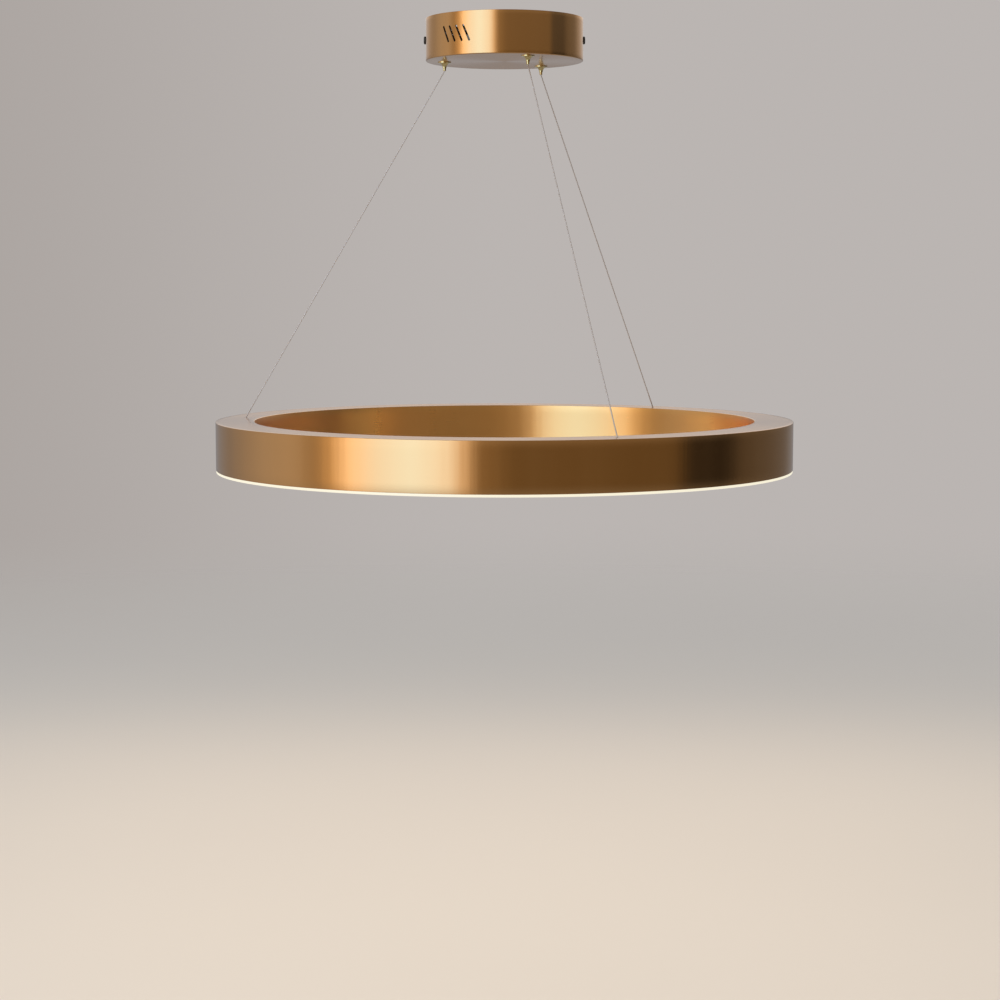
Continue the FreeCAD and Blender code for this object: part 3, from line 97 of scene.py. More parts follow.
class Signal:
    """One output of a node tree. Arithmetic on signals adds Math nodes."""

    def __init__(self, socket):
        self.socket = socket

    def node(self, kind, inputs=None, output=0, stops=None, **settings):
        """Adds a node: first its settings or a ramp's stops, then its inputs' values and links."""
        tree = self.socket.id_data
        made = tree.nodes.new("ShaderNode" + kind)
        for name, value in settings.items():
            setattr(made, name, value)
        if stops:
            marks = made.color_ramp.elements
            marks[0].position, marks[0].color = stops[0]
            marks[1].position, marks[1].color = stops[-1]
            for position, colour in stops[1:-1]:
                marks.new(position).color = colour
        for name, value in (inputs or {}).items():
            if isinstance(value, Signal):
                tree.links.new(value.socket, made.inputs[name])
            else:
                made.inputs[name].default_value = value
        return Signal(made.outputs[output])

    def math(self, operation, *others):
        """One of the Math node's operations on this number and the others."""
        return self.node("Math", dict(enumerate((self, *others))), operation=operation)

    def __add__(self, other):
        return self.math("ADD", other)

    def __mul__(self, other):
        return self.math("MULTIPLY", other)

    def __sub__(self, other):
        return self.math("SUBTRACT", other)

    def __truediv__(self, other):
        return self.math("DIVIDE", other)

    def __rsub__(self, other):
        return self.node("Math", {0: other, 1: self}, operation="SUBTRACT")

    __radd__ = __add__
    __rmul__ = __mul__

    def parts(self):
        """The three numbers of a vector."""
        split = self.node("SeparateXYZ", {0: self})
        return [Signal(socket) for socket in split.socket.node.outputs]

    def vector(self, y, z):
        """A vector of this number and two more."""
        return self.node("CombineXYZ", {0: self, 1: y, 2: z})

    def noise(self, scale, detail=2.0):
        """Smooth noise from 0 to 1 at this vector."""
        return self.node("TexNoise", {"Vector": self, "Scale": scale, "Detail": detail})

    def between(self, start, end):
        """0 on the start's side, 1 on the end's side, and a smooth step from one to the other."""
        return self.node("MapRange", {"Value": self, "From Min": start, "From Max": end},
                         interpolation_type="SMOOTHSTEP")

    def blend(self, first, second):
        """The first colour where this number is 0 and the second where it is 1."""
        return self.node("Mix", {0: self, 6: first, 7: second}, output=2, data_type="RGBA")

    def feed(self, shader, name):
        """Links this signal to a socket of a shader."""
        self.socket.id_data.links.new(self.socket, shader.inputs[name])


def new_finish(name, **constants):
    """A material, its Principled shader with constants set, and its object coordinates."""
    material = bpy.data.materials.new(name)
    material.use_nodes = True
    shader = material.node_tree.nodes["Principled BSDF"]
    for socket, value in constants.items():
        shader.inputs[socket.replace("_", " ")].default_value = value
    place = Signal(material.node_tree.nodes.new("ShaderNodeTexCoord").outputs["Object"])
    return material, shader, place


def rope_steel():
    """Steel rope: bright and a little dull, with spots of brown grime."""
    material, shader, place = new_finish("rope_steel", Metallic=0.6)
    cleanness = place.noise(900.0, detail=3.0)
    cleanness.blend(GRIMY_STEEL, CLEAN_STEEL).feed(shader, "Base Color")
    (0.42 + cleanness * 0.15).feed(shader, "Roughness")
    return material


def new_surface(name, points, faces, sharp=30):
    """A mesh object of a table of points and a table of quads, its equal points merged.

    Points are equal when they round to the same ten-millionth of a metre. Corners that fall
    together drop out of their face. Edges sharper than the angle stay sharp.
    """
    used, corners = np.unique(faces, return_inverse=True)
    places = np.asarray(points, float).reshape(-1, 3)[used]
    rounded = np.round(places * MERGE_SCALE)
    _, first, number = np.unique(rounded, axis=0, return_index=True, return_inverse=True)
    corners = number.reshape(-1)[corners].reshape(-1, 4)
    distinct = corners != np.roll(corners, 1, axis=1)
    loops = [quad[kept].tolist() for quad, kept in zip(corners, distinct) if kept.sum() > 2]
    mesh = bpy.data.meshes.new(name)
    mesh.from_pydata(places[first].tolist(), [], loops)
    mesh.polygons.foreach_set("use_smooth", np.ones(len(mesh.polygons), bool))
    mesh.set_sharp_from_angle(angle=math.radians(sharp))
    mesh.validate()
    piece = bpy.data.objects.new(name, mesh)
    bpy.context.scene.collection.objects.link(piece)
    return piece


def grid_faces(rows, columns, round_rows=False, windows=()):
    """Quads of a grid of rows by columns that closes round its columns.

    With round_rows it closes round its rows too. Each window is (a, b, c, d, e): the cells between
    rows a and b and columns d and e are left out, and so are those of the facing sheet, whose row
    c faces row b. A wall joins the two openings' edges.
    """
    last_row = rows if round_rows else rows - 1
    row, column = np.meshgrid(np.arange(last_row), np.arange(columns), indexing="ij")
    kept = np.ones(row.shape, bool)
    walls = []
    for low, high, facing, left, right in windows:
        kept[low:high, left:right] = False
        kept[facing:facing + high - low, left:right] = False
        edge = [(low, c) for c in range(left, right)]
        edge += [(r, right) for r in range(low, high)]
        edge += [(high, c) for c in range(right, left, -1)]
        edge += [(r, left) for r in range(high, low, -1)]
        here = np.array(edge)
        near = here[:, 0] * columns + here[:, 1]
        far = (facing + high - here[:, 0]) * columns + here[:, 1]
        walls.append(np.stack([near, np.roll(near, -1), np.roll(far, -1), far], axis=1))
    row, column = row[kept], column[kept]
    next_row = (row + 1) % rows
    next_column = (column + 1) % columns
    quads = np.stack([row * columns + column, row * columns + next_column,
                      next_row * columns + next_column, next_row * columns + column], axis=1)
    return np.concatenate([quads, *walls])


def tube_rings(centres, along, aside, radius, columns):
    """Rings round a line: at each centre, radius (cos t aside + sin t (along x aside))."""
    turn = np.linspace(0, math.tau, columns, endpoint=False)[None, :, None]
    aside = np.broadcast_to(aside, centres.shape)[:, None, :]
    across = np.cross(np.broadcast_to(along, centres.shape)[:, None, :], aside)
    return centres[:, None, :] + radius * (np.cos(turn) * aside + np.sin(turn) * across)


def closed_tube(name, rings, start, end):
    """A tube of rings of points, closed at each end by a fan about a point."""
    caps = [np.broadcast_to(tip, rings[:1].shape) for tip in (start, end)]
    rings = np.concatenate([caps[0], rings, caps[1]])
    return new_surface(name, rings, grid_faces(len(rings), rings.shape[1]), sharp=50)


def make_wire(number, finish):
    """A rope's surface: round a straight line, at radius R (1 - g + g |cos 3(t - w)|).

    Here g is the grooves' share of the radius, t the angle round the line and w the strands' turn,
    one full turn in each lay. Each ring of points is slid along the line until it is level, so
    both ends are cut level.
    """
    outward = np.array([math.cos(WIRE_ANGLES[number]), math.sin(WIRE_ANGLES[number]), 0.0])
    start = GRIPPER_RADIUS * outward + (0, 0, NOZZLE_TIP)
    run = ANCHOR_RADIUS * outward + (0, 0, RING_TOP) - start
    length = float(np.linalg.norm(run))
    along = run / length
    aside = np.cross((0, 0, 1), outward)
    share = np.linspace(0, 1, WIRE_STEPS + 1)[:, None]
    turn = np.linspace(0, math.tau, WIRE_COLUMNS, endpoint=False)[None, :]
    waves = np.abs(np.cos(STRANDS / 2 * (turn - share * length / WIRE_LAY * math.tau)))
    radius = WIRE_RADIUS * (1 - GROOVE_SHARE + GROOVE_SHARE * waves)
    centres = start + share * run
    rings = tube_rings(centres, along, aside, radius[..., None], WIRE_COLUMNS)
    rings = rings - along * ((rings[..., 2:] - centres[:, None, 2:]) / along[2])
    wire = closed_tube(f"wire_rope_{number + 1}", rings, start, start + run)
    wire.data.materials.append(finish)
    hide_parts(f"suspension_wire_{number + 1}")
    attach(wire, "canopy")
    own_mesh(wire)


wire_steel = rope_steel()
for number in range(3):
    make_wire(number, wire_steel)


# ---------------------------------------------------------------- floor and light

# A pale floor that fades into a pale wall, which is a little darker on its left. What the metal
# mirrors is a studio, given by direction: a tall cool window on the left of the front, and a dim
# warm room on the right of it.
FLOOR_LEVEL = -1.05
FLOOR_RADIUS = 6.0
FADE_START = 1.6
FADE_END = 0.8 * FLOOR_RADIUS
FLOOR_PAINT = (0.72, 0.69, 0.66, 1)
WORN_PAINT = (0.74, 0.71, 0.675, 1)
PALE_GREY = (0.495, 0.462, 0.445, 1)
SHADED_GREY = (0.405, 0.370, 0.350, 1)
MIRRORED_STRENGTH = 3.0


def tint(level, warmth=0.0):
    """A grey of this level, warmer where warmth is more than 0 and cooler where it is less."""
    return (level * (1 + 0.3 * warmth), level, level * (1 - 0.45 * warmth), 1)


FILL_LIGHT = tint(0.60)
RAISED_LIGHT = tint(0.400)
CEILING_LIGHT = tint(0.045, 0.1)
GROUND_LIGHT = tint(0.105, -0.1)
# The studio's light by the turn from the back by the left, the front and the right to the back.
LIGHT_AROUND = [
    (0.000, tint(0.120, -0.2)),
    (0.047, tint(0.090, -0.2)),
    (0.120, tint(0.090)),
    (0.200, tint(0.155)),
    (0.250, tint(0.170, 0.1)),
    (0.284, tint(0.115, 0.6)),
    (0.308, tint(0.220, 0.8)),
    (0.326, tint(0.480, 0.2)),
    (0.362, tint(0.580, -0.8)),
    (0.400, tint(0.660, -1.1)),
    (0.440, tint(0.560, -0.7)),
    (0.456, tint(0.300, 0.3)),
    (0.472, tint(0.070, 1.0)),
    (0.512, tint(0.038, 1.2)),
    (0.690, tint(0.031, 1.2)),
    (0.710, tint(0.005, 1.0)),
    (0.764, tint(0.004, 0.8)),
    (0.790, tint(0.026, 0.3)),
    (0.900, tint(0.050)),
    (1.000, tint(0.120, -0.2)),
]

world = bpy.data.worlds.new("room")
bpy.context.scene.world = world
world.use_nodes = True
room = world.node_tree.nodes["Background"]
heading = Signal(world.node_tree.nodes.new("ShaderNodeTexCoord").outputs["Generated"])
east, north, up = heading.parts()
turn = east.math("ARCTAN2", 0.0 - north) / math.tau + 0.5
around = turn.node("ValToRGB", {0: turn}, stops=LIGHT_AROUND)
# Over the horizon the studio is raised a little on its right half, and more at its back.
raised = up.between(0.03, 0.18) * (east.between(-0.4, -0.1) * 0.12 + north.between(0.5, 0.95) * 0.47)
walls = raised.blend(around, RAISED_LIGHT)
above = up.between(0.5, 0.95).blend(walls, CEILING_LIGHT)
studio = up.between(-0.12, -0.6).blend(above, GROUND_LIGHT)
# The camera sees the wall, matt surfaces get an even fill, and only mirrored rays see the studio.
kinds = heading.node("LightPath").socket.node.outputs
seen = Signal(kinds["Is Camera Ray"])
mirrored = Signal(kinds["Is Glossy Ray"])
wall = east.between(-0.30, 0.02).blend(SHADED_GREY, PALE_GREY)
mirrored.blend(seen.blend(FILL_LIGHT, wall), studio).feed(room, "Color")
(1.0 + mirrored * (MIRRORED_STRENGTH - 1.0)).feed(room, "Strength")


def carried_round(radius, angle, height):
    """Points at a radius, an angle about Z and a height, given as arrays of one shape."""
    return np.stack([radius * np.cos(angle), radius * np.sin(angle), height], axis=-1)


def turned(name, outline, columns=64, centre=(0.0, 0.0), closed=True):
    """An outline of (radius, height) points carried once round an upright axis.

    The outline runs with the material on its left. It is closed, or ends on the axis.
    """
    outline = np.array(outline)
    radius = np.repeat(outline[:, :1], columns, axis=1)
    height = np.repeat(outline[:, 1:], columns, axis=1)
    turn = np.linspace(0, math.tau, columns, endpoint=False)[None, :]
    angle = np.repeat(turn, len(outline), axis=0)
    points = carried_round(radius, angle, height) + (*centre, 0.0)
    return new_surface(name, points, grid_faces(len(outline), columns, closed))


floor = turned("floor", [(FLOOR_RADIUS, FLOOR_LEVEL), (0.0, FLOOR_LEVEL)], closed=False)
floor.visible_glossy = False

paint, paint_shader, place = new_finish("floor_paint", Roughness=0.9, Specular_IOR_Level=0.1)
place.noise(1.3).blend(FLOOR_PAINT, WORN_PAINT).feed(paint_shader, "Base Color")
east, north, up = place.parts()
reach = (east * east + north * north).math("SQRT")
fading = reach.between(FADE_START, FADE_END)
layers = {0: fading, 1: Signal(paint_shader.outputs[0]), 2: place.node("BsdfTransparent")}
fading.node("MixShader", layers).feed(paint.node_tree.nodes["Material Output"], "Surface")
floor.data.materials.append(paint)


def add_softbox(name, place, target, size, power, colour):
    """A square lamp that lights the pale pieces but isn't mirrored in the metal."""
    light = bpy.data.lights.new(name, "AREA")
    light.size = size
    light.energy = power
    light.color = colour
    lamp = bpy.data.objects.new(name, light)
    lamp.location = place
    aim = Vector(target) - Vector(place)
    lamp.rotation_euler = aim.to_track_quat("-Z", "Y").to_euler()
    lamp.visible_glossy = False
    lamp.visible_camera = False
    bpy.context.scene.collection.objects.link(lamp)


add_softbox("key", place=(-1.9, -1.9, 0.3), target=(0, 0, -0.3), size=1.8, power=20,
            colour=(1.0, 0.98, 0.95))
add_softbox("pool", place=(0, 0.4, -0.475), target=(0, 0.4, -1.0), size=2.1, power=7,
            colour=(1.0, 0.76, 0.50))


# ---------------------------------------------------------------- canopy cover

# The drawn cover of the canopy: brushed sheet metal, plated outside, with four slanted vents. It
# has a rounded lower edge. Its unplated inside and the vents' cut walls are dull and painted near
# black, a painted shade for the dark hollow of the canopy.
COVER_RADIUS = 0.081
COVER_WALL = 0.0012
COVER_TOP = -0.0012
COVER_BOTTOM = -0.044
COVER_EDGE = 0.001
RIM_EDGE = 0.0002
SCREW_LEVEL = -0.0226
VENT_WIDTH = 0.0023
VENT_LENGTH = 0.0182
VENT_LEAN = math.radians(25)
VENT_PITCH = math.radians(6.1)
VENT_MIDDLE = math.radians(-90 - 37.4)
VENT_COUNT = 4
VENT_MIDDLES = [VENT_MIDDLE + (number - (VENT_COUNT - 1) / 2) * VENT_PITCH
                for number in range(VENT_COUNT)]
HALF_VENT = VENT_WIDTH / 2 / math.cos(VENT_LEAN) / COVER_RADIUS
VENT_CELLS = 8
GAP_CELLS = 4
REST_CELLS = 299
EDGE_POINTS = 9
UNDER_ROWS = 14
FLOOR_ROWS = 8
WALL_CELLS = (4, 8, 4)
LEAN_END = math.radians(48)
LEAN_FADE = math.radians(36)
PLATING_STEP = 0.0001
BRUSH_ALONG = 7.0
BRUSH_ACROSS = 2200.0
BANDS_ACROSS = 38.0
BANDS_UPRIGHT = 1.5
BANDS_SHARE = 0.65
PLATING_ROUGHNESS = 0.145
LINES_ROUGHNESS = 0.035
BANDS_ROUGHNESS = 0.05
LINES_HEIGHT = 0.002
RELIEF = {"Strength": 0.35, "Distance": 0.0006}
DEEP_PLATING = (0.71, 0.378, 0.150, 1)
PALE_PLATING = (0.80, 0.44, 0.185, 1)
# The cover's unplated inside, painted near black: a painted shade for the dark hollow behind the vents.
BARE_METAL_PAINTED_SHADE = (0.10, 0.066, 0.042, 1)


def brushed_metal(name, dull, painted_light_and_shade_colour, dull_roughness):
    """Brushed plating: fine lines run round the axis, so a highlight spreads up and down.

    The lines are noise that changes slowly along X and Y and fast with height plus radius, which
    follows the brush on an upright wall and on a level face. Upright bands of a slow noise of X
    and Y, left on the walls by rolling, make their highlights waver. Where dull, a function of
    the radius and the height, gives 1, the metal has that much more roughness and takes another
    colour in place of the plating: a painted shade on the cover's inside and a painted light on
    the ring's inner wall.
    """
    material, shader, place = new_finish(name, Metallic=1.0, Anisotropic=0.8, Anisotropic_Rotation=0.25)
    x, y, z = place.parts()
    radius = (x * x + y * y).math("SQRT")
    upright = 1.0 - place.node("NewGeometry", output="Normal").parts()[2].math("ABSOLUTE")
    brushed = (x * BRUSH_ALONG).vector(y * BRUSH_ALONG, (radius + z) * BRUSH_ACROSS)
    rolled = (x * BANDS_ACROSS).vector(y * BANDS_ACROSS, z * BANDS_UPRIGHT)
    lines = brushed.noise(1.0)
    bands = rolled.noise(1.0, detail=3.0)
    paleness = lines * (1 - BANDS_SHARE) + bands * BANDS_SHARE
    dull_and_painted_share = dull(radius, z)
    # Where the mask is 1 the plating gives way to the caller's colour: painted shade on the cover's
    # inside, painted light on the ring's inner wall.
    dull_and_painted_share.blend(paleness.blend(DEEP_PLATING, PALE_PLATING), painted_light_and_shade_colour).feed(shader, "Base Color")
    roughness = PLATING_ROUGHNESS + lines * LINES_ROUGHNESS + bands * BANDS_ROUGHNESS
    (roughness + dull_and_painted_share * dull_roughness).feed(shader, "Roughness")
    height = lines * LINES_HEIGHT + bands * upright
    height.node("Bump", {"Height": height, **RELIEF}).feed(shader, "Normal")
    return material


def vent_columns():
    """Angles of the cover's columns, and the first and last column of each vent.

    A vent's columns lie closer together at its sides, so that its round ends are smooth.
    """
    across = np.cos(np.linspace(0, math.pi, VENT_CELLS + 1))
    angles = []
    bounds = []
    for number, middle in enumerate(VENT_MIDDLES):
        bounds.append((len(angles), len(angles) + VENT_CELLS))
        angles.extend(middle - HALF_VENT * across)
        if number < VENT_COUNT - 1:
            gap_end = middle + VENT_PITCH - HALF_VENT
            angles.extend(np.linspace(middle + HALF_VENT, gap_end, GAP_CELLS + 1)[1:-1])
    rest = np.linspace(angles[-1], angles[0] + math.tau, REST_CELLS + 1)[1:-1]
    return np.concatenate([angles, rest]), bounds


def vent_end(angle, side):
    """Height of a vent's round end over its centre, at each column: side is 1 above, -1 below.

    With q as the place across the vent from -1 to 1, it is r sin(lean + side acos q). Beside
    the vent it fades out towards the next one.
    """
    radius = VENT_WIDTH / 2
    offsets = (angle[:, None] - np.array(VENT_MIDDLES)[None, :]) / HALF_VENT
    q = offsets[np.arange(len(angle)), np.abs(offsets).argmin(axis=1)]
    inside = radius * np.sin(VENT_LEAN + side * np.arccos(np.clip(q, -1, 1)))
    beside = np.clip(1 - (np.abs(q) - 1) / (VENT_PITCH / 2 / HALF_VENT - 1), 0, 1)
    return np.where(np.abs(q) <= 1, inside, np.sign(q) * radius * math.sin(VENT_LEAN) * beside)


def arc(centre, radius, first, last, points=4):
    """Points of an arc about a centre, from one angle to another, in degrees."""
    turn = np.radians(np.linspace(first, last, points))
    return np.stack([centre[0] + radius * np.cos(turn), centre[1] + radius * np.sin(turn)], axis=1)


def cover_wall_rows(angle, low, high):
    """Heights of the wall's rows at each column: below, along and above the vents."""
    run = (VENT_LENGTH - VENT_WIDTH) / 2 * math.cos(VENT_LEAN)
    bottom = SCREW_LEVEL - run + vent_end(angle, -1)
    top = SCREW_LEVEL + run + vent_end(angle, 1)
    stops = [np.full(len(angle), low), bottom, top, np.full(len(angle), high)]
    rows = []
    for start, end, cells in zip(stops, stops[1:], WALL_CELLS):
        rows.extend(start + (end - start) * cell / cells for cell in range(cells))
    return np.array([*rows, stops[-1]])


def make_cover():
    """The cover as one grid: out along its underside, up, over the rim, down and back inside.

    Near the vents each column leans as they do: its angle moves by tan(lean) times the height
    over the vents' middle, over the radius. The lean fades out to both sides.
    """
    angle, vents = vent_columns()
    inner = COVER_RADIUS - COVER_WALL
    floor_top = COVER_BOTTOM + COVER_WALL
    edge = arc((COVER_RADIUS - COVER_EDGE, COVER_BOTTOM + COVER_EDGE), COVER_EDGE, -90, 0, EDGE_POINTS)
    rim = np.concatenate([arc((COVER_RADIUS - RIM_EDGE, COVER_TOP - RIM_EDGE), RIM_EDGE, 0, 90),
                          arc((inner + RIM_EDGE, COVER_TOP - RIM_EDGE), RIM_EDGE, 90, 180)])
    wall = cover_wall_rows(angle, edge[-1, 1], rim[0, 1])
    inside = cover_wall_rows(angle, floor_top, rim[-1, 1])[::-1]
    under = [(share * (COVER_RADIUS - COVER_EDGE), COVER_BOTTOM)
             for share in np.linspace(0, 1, UNDER_ROWS)]
    over = [(share * inner, floor_top) for share in np.linspace(1, 0, FLOOR_ROWS)[1:]]
    under, edge, rim, over = [np.repeat(np.array(rows)[:, :, None], len(angle), axis=2)
                              for rows in (under, edge[1:-1], rim[1:-1], over)]
    radius = np.concatenate([under[:, 0], edge[:, 0], np.full(wall.shape, COVER_RADIUS),
                             rim[:, 0], np.full(inside.shape, inner), over[:, 0]])
    height = np.concatenate([under[:, 1], edge[:, 1], wall, rim[:, 1], inside, over[:, 1]])
    away = np.abs((angle - VENT_MIDDLE + math.pi) % math.tau - math.pi)
    near = np.clip((LEAN_END - away) / LEAN_FADE, 0, 1)
    near = near * near * (3 - 2 * near)
    lean = math.tan(VENT_LEAN) * (height - SCREW_LEVEL) / COVER_RADIUS * near[None, :]
    first_row = len(under) + len(edge) + WALL_CELLS[0]
    last_row = first_row + WALL_CELLS[1]
    facing_row = len(under) + len(edge) + len(wall) + len(rim) + WALL_CELLS[2]
    windows = [(first_row, last_row, facing_row, left, right) for left, right in vents]
    points = carried_round(radius, angle[None, :] - lean, height)
    return new_surface("cover", points, grid_faces(len(radius), len(angle), windows=windows))


def shaded_cover_inside(radius, height):
    """1 on the cover's unplated inside and in its vents, where a near-black shade is painted, 0 on its
    outside.
    """
    behind = radius.between(COVER_RADIUS - PLATING_STEP, COVER_RADIUS - 2 * PLATING_STEP)
    floor_top = COVER_BOTTOM + COVER_WALL
    return behind * height.between(floor_top - 3 * PLATING_STEP, floor_top - PLATING_STEP)


# The cover's inside and vent walls take a near-black colour, a painted shade.
cover_metal = brushed_metal("brushed_cover", shaded_cover_inside, BARE_METAL_PAINTED_SHADE, dull_roughness=0.35)
cover = make_cover()
cover.data.materials.append(cover_metal)
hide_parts("canopy_cover")
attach(cover, "canopy")


# ---------------------------------------------------------------- side screws

# Two dark pan head screws with a cross recess, one on each side. They hold the cover to the
# tabs of the mounting bar.
HEAD_RADIUS = 0.004
HEAD_HEIGHT = 0.002
CROWN_RADIUS = 0.0024
SHANK_RADIUS = 0.002
SCREW_LENGTH = 0.009
RECESS_WIDTH = 0.0010
RECESS_REACH = 0.0021
RECESS_DEPTH = 0.0011
SCREW_COLUMNS = 96
CROWN_ROWS = 22
SHOULDER_POINTS = 9
ROUGHNESS_DRIFT = 0.06


def mottled(name, colour, other, roughness, metallic=0.0, scale=150.0):
    """A finish whose colour drifts between two, and whose roughness varies a little with it."""
    material, shader, place = new_finish(name, Metallic=metallic)
    drift = place.noise(scale, detail=3.0)
    drift.blend((*colour, 1), (*other, 1)).feed(shader, "Base Color")
    (roughness - ROUGHNESS_DRIFT / 2 + drift * ROUGHNESS_DRIFT).feed(shader, "Roughness")
    return material


def make_side_screws():
    """Two screws lying along X: a crown that rounds off to the head's side, and a shank.

    The cross recess sinks by depth (1 - (2a / width)^4) (1 - (b / reach)^6), where a is the
    smaller of |y| and |z| from the screw's axis and b the larger, and no factor is under 0.
    """
    shoulder = arc((CROWN_RADIUS, 0), HEAD_RADIUS - CROWN_RADIUS, 90, 0, SHOULDER_POINTS)[1:, 0]
    crown = np.concatenate([np.linspace(0, CROWN_RADIUS, CROWN_ROWS), shoulder])
    rounding = np.clip((crown - CROWN_RADIUS) / (HEAD_RADIUS - CROWN_RADIUS), 0, 1)
    rise = HEAD_HEIGHT / 2 * (1 + np.sqrt(1 - rounding ** 2))
    radius = np.concatenate([crown, [HEAD_RADIUS, SHANK_RADIUS, SHANK_RADIUS, 0.0]])[:, None]
    rise = np.concatenate([rise, [0.0, 0.0, -SCREW_LENGTH, -SCREW_LENGTH]])[:, None]
    turn = np.linspace(0, math.tau, SCREW_COLUMNS, endpoint=False)[None, :]
    y = radius * np.cos(turn)
    z = radius * np.sin(turn)
    smaller = np.minimum(np.abs(y), np.abs(z))
    larger = np.maximum(np.abs(y), np.abs(z))
    across = np.clip(1 - (2 * smaller / RECESS_WIDTH) ** 4, 0, 1)
    along = np.clip(1 - (larger / RECESS_REACH) ** 6, 0, 1)
    sink = RECESS_DEPTH * across * along * (rise > 0)
    right = np.stack([COVER_RADIUS + rise - sink, y, SCREW_LEVEL + z], axis=-1)
    left = right * (-1, -1, 1)
    faces = grid_faces(len(radius), SCREW_COLUMNS)[:, ::-1]
    both = np.concatenate([faces, faces + len(radius) * SCREW_COLUMNS])
    return new_surface("side_screws", np.stack([right, left]), both)


dark_screw = mottled("dark_screw", (0.045, 0.040, 0.036), (0.07, 0.06, 0.05), 0.34, metallic=0.7)
screws = make_side_screws()
screws.data.materials.append(dark_screw)
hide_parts("canopy_side_screws")
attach(screws, "canopy")


# ---------------------------------------------------------------- grippers

# Three wire grippers of polished brass under the canopy: a trumpet with a rolled rim, whose
# threaded barrel goes up through the cover. A spring in the barrel presses the plunger down.
BORE = 0.00155
NECK = 0.0019
FLANGE = 0.00675
RIM = 0.0008
RIM_ROUNDING = 0.00015
FLARE = FLANGE - NECK
FLARE_POINTS = 24
TRUMPET = 0.006
TRUMPET_COLUMNS = 72
BARREL = 0.0048
BARREL_LENGTH = 0.022
CHAMBER = 0.0033
CONE_LOW = 0.0023
CONE_SLOPE = math.radians(8)
SHOULDER = 0.004
CONE_TOP = SHOULDER + (CHAMBER - CONE_LOW) / math.tan(CONE_SLOPE)
SPRING_RADIUS = 0.00205
SPRING_WIRE = 0.0005
SPRING_TURNS = 6
SPRING_LOW = COVER_BOTTOM + 0.0097
SPRING_HIGH = COVER_BOTTOM + 0.0192
STEPS_PER_TURN = 36
SPRING_COLUMNS = 12


def make_trumpet(number, centre, finish):
    """A gripper's body: its outline carried round its own axis."""
    outline = np.concatenate([
        [(BORE, -TRUMPET)],
        arc((NECK - RIM_ROUNDING, RIM_ROUNDING - TRUMPET), RIM_ROUNDING, -90, 0),
        arc((FLANGE, -RIM - FLARE), FLARE, 180, 92, FLARE_POINTS),
        arc((FLANGE - RIM_ROUNDING, RIM_ROUNDING - RIM), RIM_ROUNDING, -90, 0),
        [(FLANGE, 0), (BARREL, 0), (BARREL, BARREL_LENGTH), (CHAMBER, BARREL_LENGTH),
         (CHAMBER, CONE_TOP), (CONE_LOW, SHOULDER), (BORE, SHOULDER)],
    ])
    outline[:, 1] += COVER_BOTTOM
    trumpet = turned(f"trumpet_{number}", outline, TRUMPET_COLUMNS, centre)
    trumpet.data.materials.append(finish)
    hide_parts(f"gripper_body_{number}")
    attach(trumpet, "canopy")


def make_spring(number, centre, angle, finish):
    """A gripper's spring: a tube round a helix that rises evenly with its turn."""
    share = np.linspace(0, 1, STEPS_PER_TURN * SPRING_TURNS + 1)
    turn = angle + share * SPRING_TURNS * math.tau
    level = SPRING_LOW + share * (SPRING_HIGH - SPRING_LOW)
    middles = carried_round(SPRING_RADIUS, turn, level) + (*centre, 0.0)
    aside = carried_round(1.0, turn, 0 * turn)
    rise = math.atan2(SPRING_HIGH - SPRING_LOW, SPRING_TURNS * math.tau * SPRING_RADIUS)
    along = np.stack([-np.sin(turn) * math.cos(rise), np.cos(turn) * math.cos(rise),
                      math.sin(rise) + 0 * turn], axis=1)
    rings = tube_rings(middles, along, aside, SPRING_WIRE / 2, SPRING_COLUMNS)
    spring = closed_tube(f"spring_{number}", rings, middles[0], middles[-1])
    spring.data.materials.append(finish)
    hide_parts(f"gripper_spring_{number}")
    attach(spring, "canopy")
    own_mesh(spring)


polished_brass = mottled("polished_brass", (0.83, 0.64, 0.30), (0.80, 0.60, 0.26), 0.12, metallic=1.0)
bearing_steel = mottled("bearing_steel", (0.66, 0.66, 0.66), (0.58, 0.58, 0.59), 0.16, metallic=1.0)
for number, angle in enumerate(WIRE_ANGLES, start=1):
    centre = (GRIPPER_RADIUS * math.cos(angle), GRIPPER_RADIUS * math.sin(angle))
    make_trumpet(number, centre, polished_brass)
    make_spring(number, centre, angle, bearing_steel)


# ---------------------------------------------------------------- ring

# The ring: a rolled aluminium profile, open below, anodised to match the canopy and brushed
# along its length. Grooves hold the diffuser, ribs the LED tray, and the top has a hole for each
# wire, filled by a nylon bush.
RING_FOOT = -0.4625
RING_OUTER = 0.300
RING_INNER = 0.260
RING_WALL = 0.002
RING_EDGE = 0.0004
FOOT_EDGE = 0.00025
RIB_TOP = -0.439
RIB_THICKNESS = 0.002
RIB_REACH = 0.006
GROOVE_LOW = RING_FOOT + 0.005
GROOVE_HIGH = RING_FOOT + 0.0066
GROOVE_DEPTH = 0.0008
WIRE_HOLE = 0.00205
RING_COLUMNS = 720
HOLE_CELLS = 8
HOLE_CELL = 0.0021
ROWS_BESIDE_HOLES = 2
ROWS_ON_WALL = 4
# Lighter, warmer plating for the ring's inner wall: a painted light, since that wall mirrors itself.
PAINTED_LIGHT_PLATING = (0.94, 0.53, 0.20, 1)
TINY = 1e-9


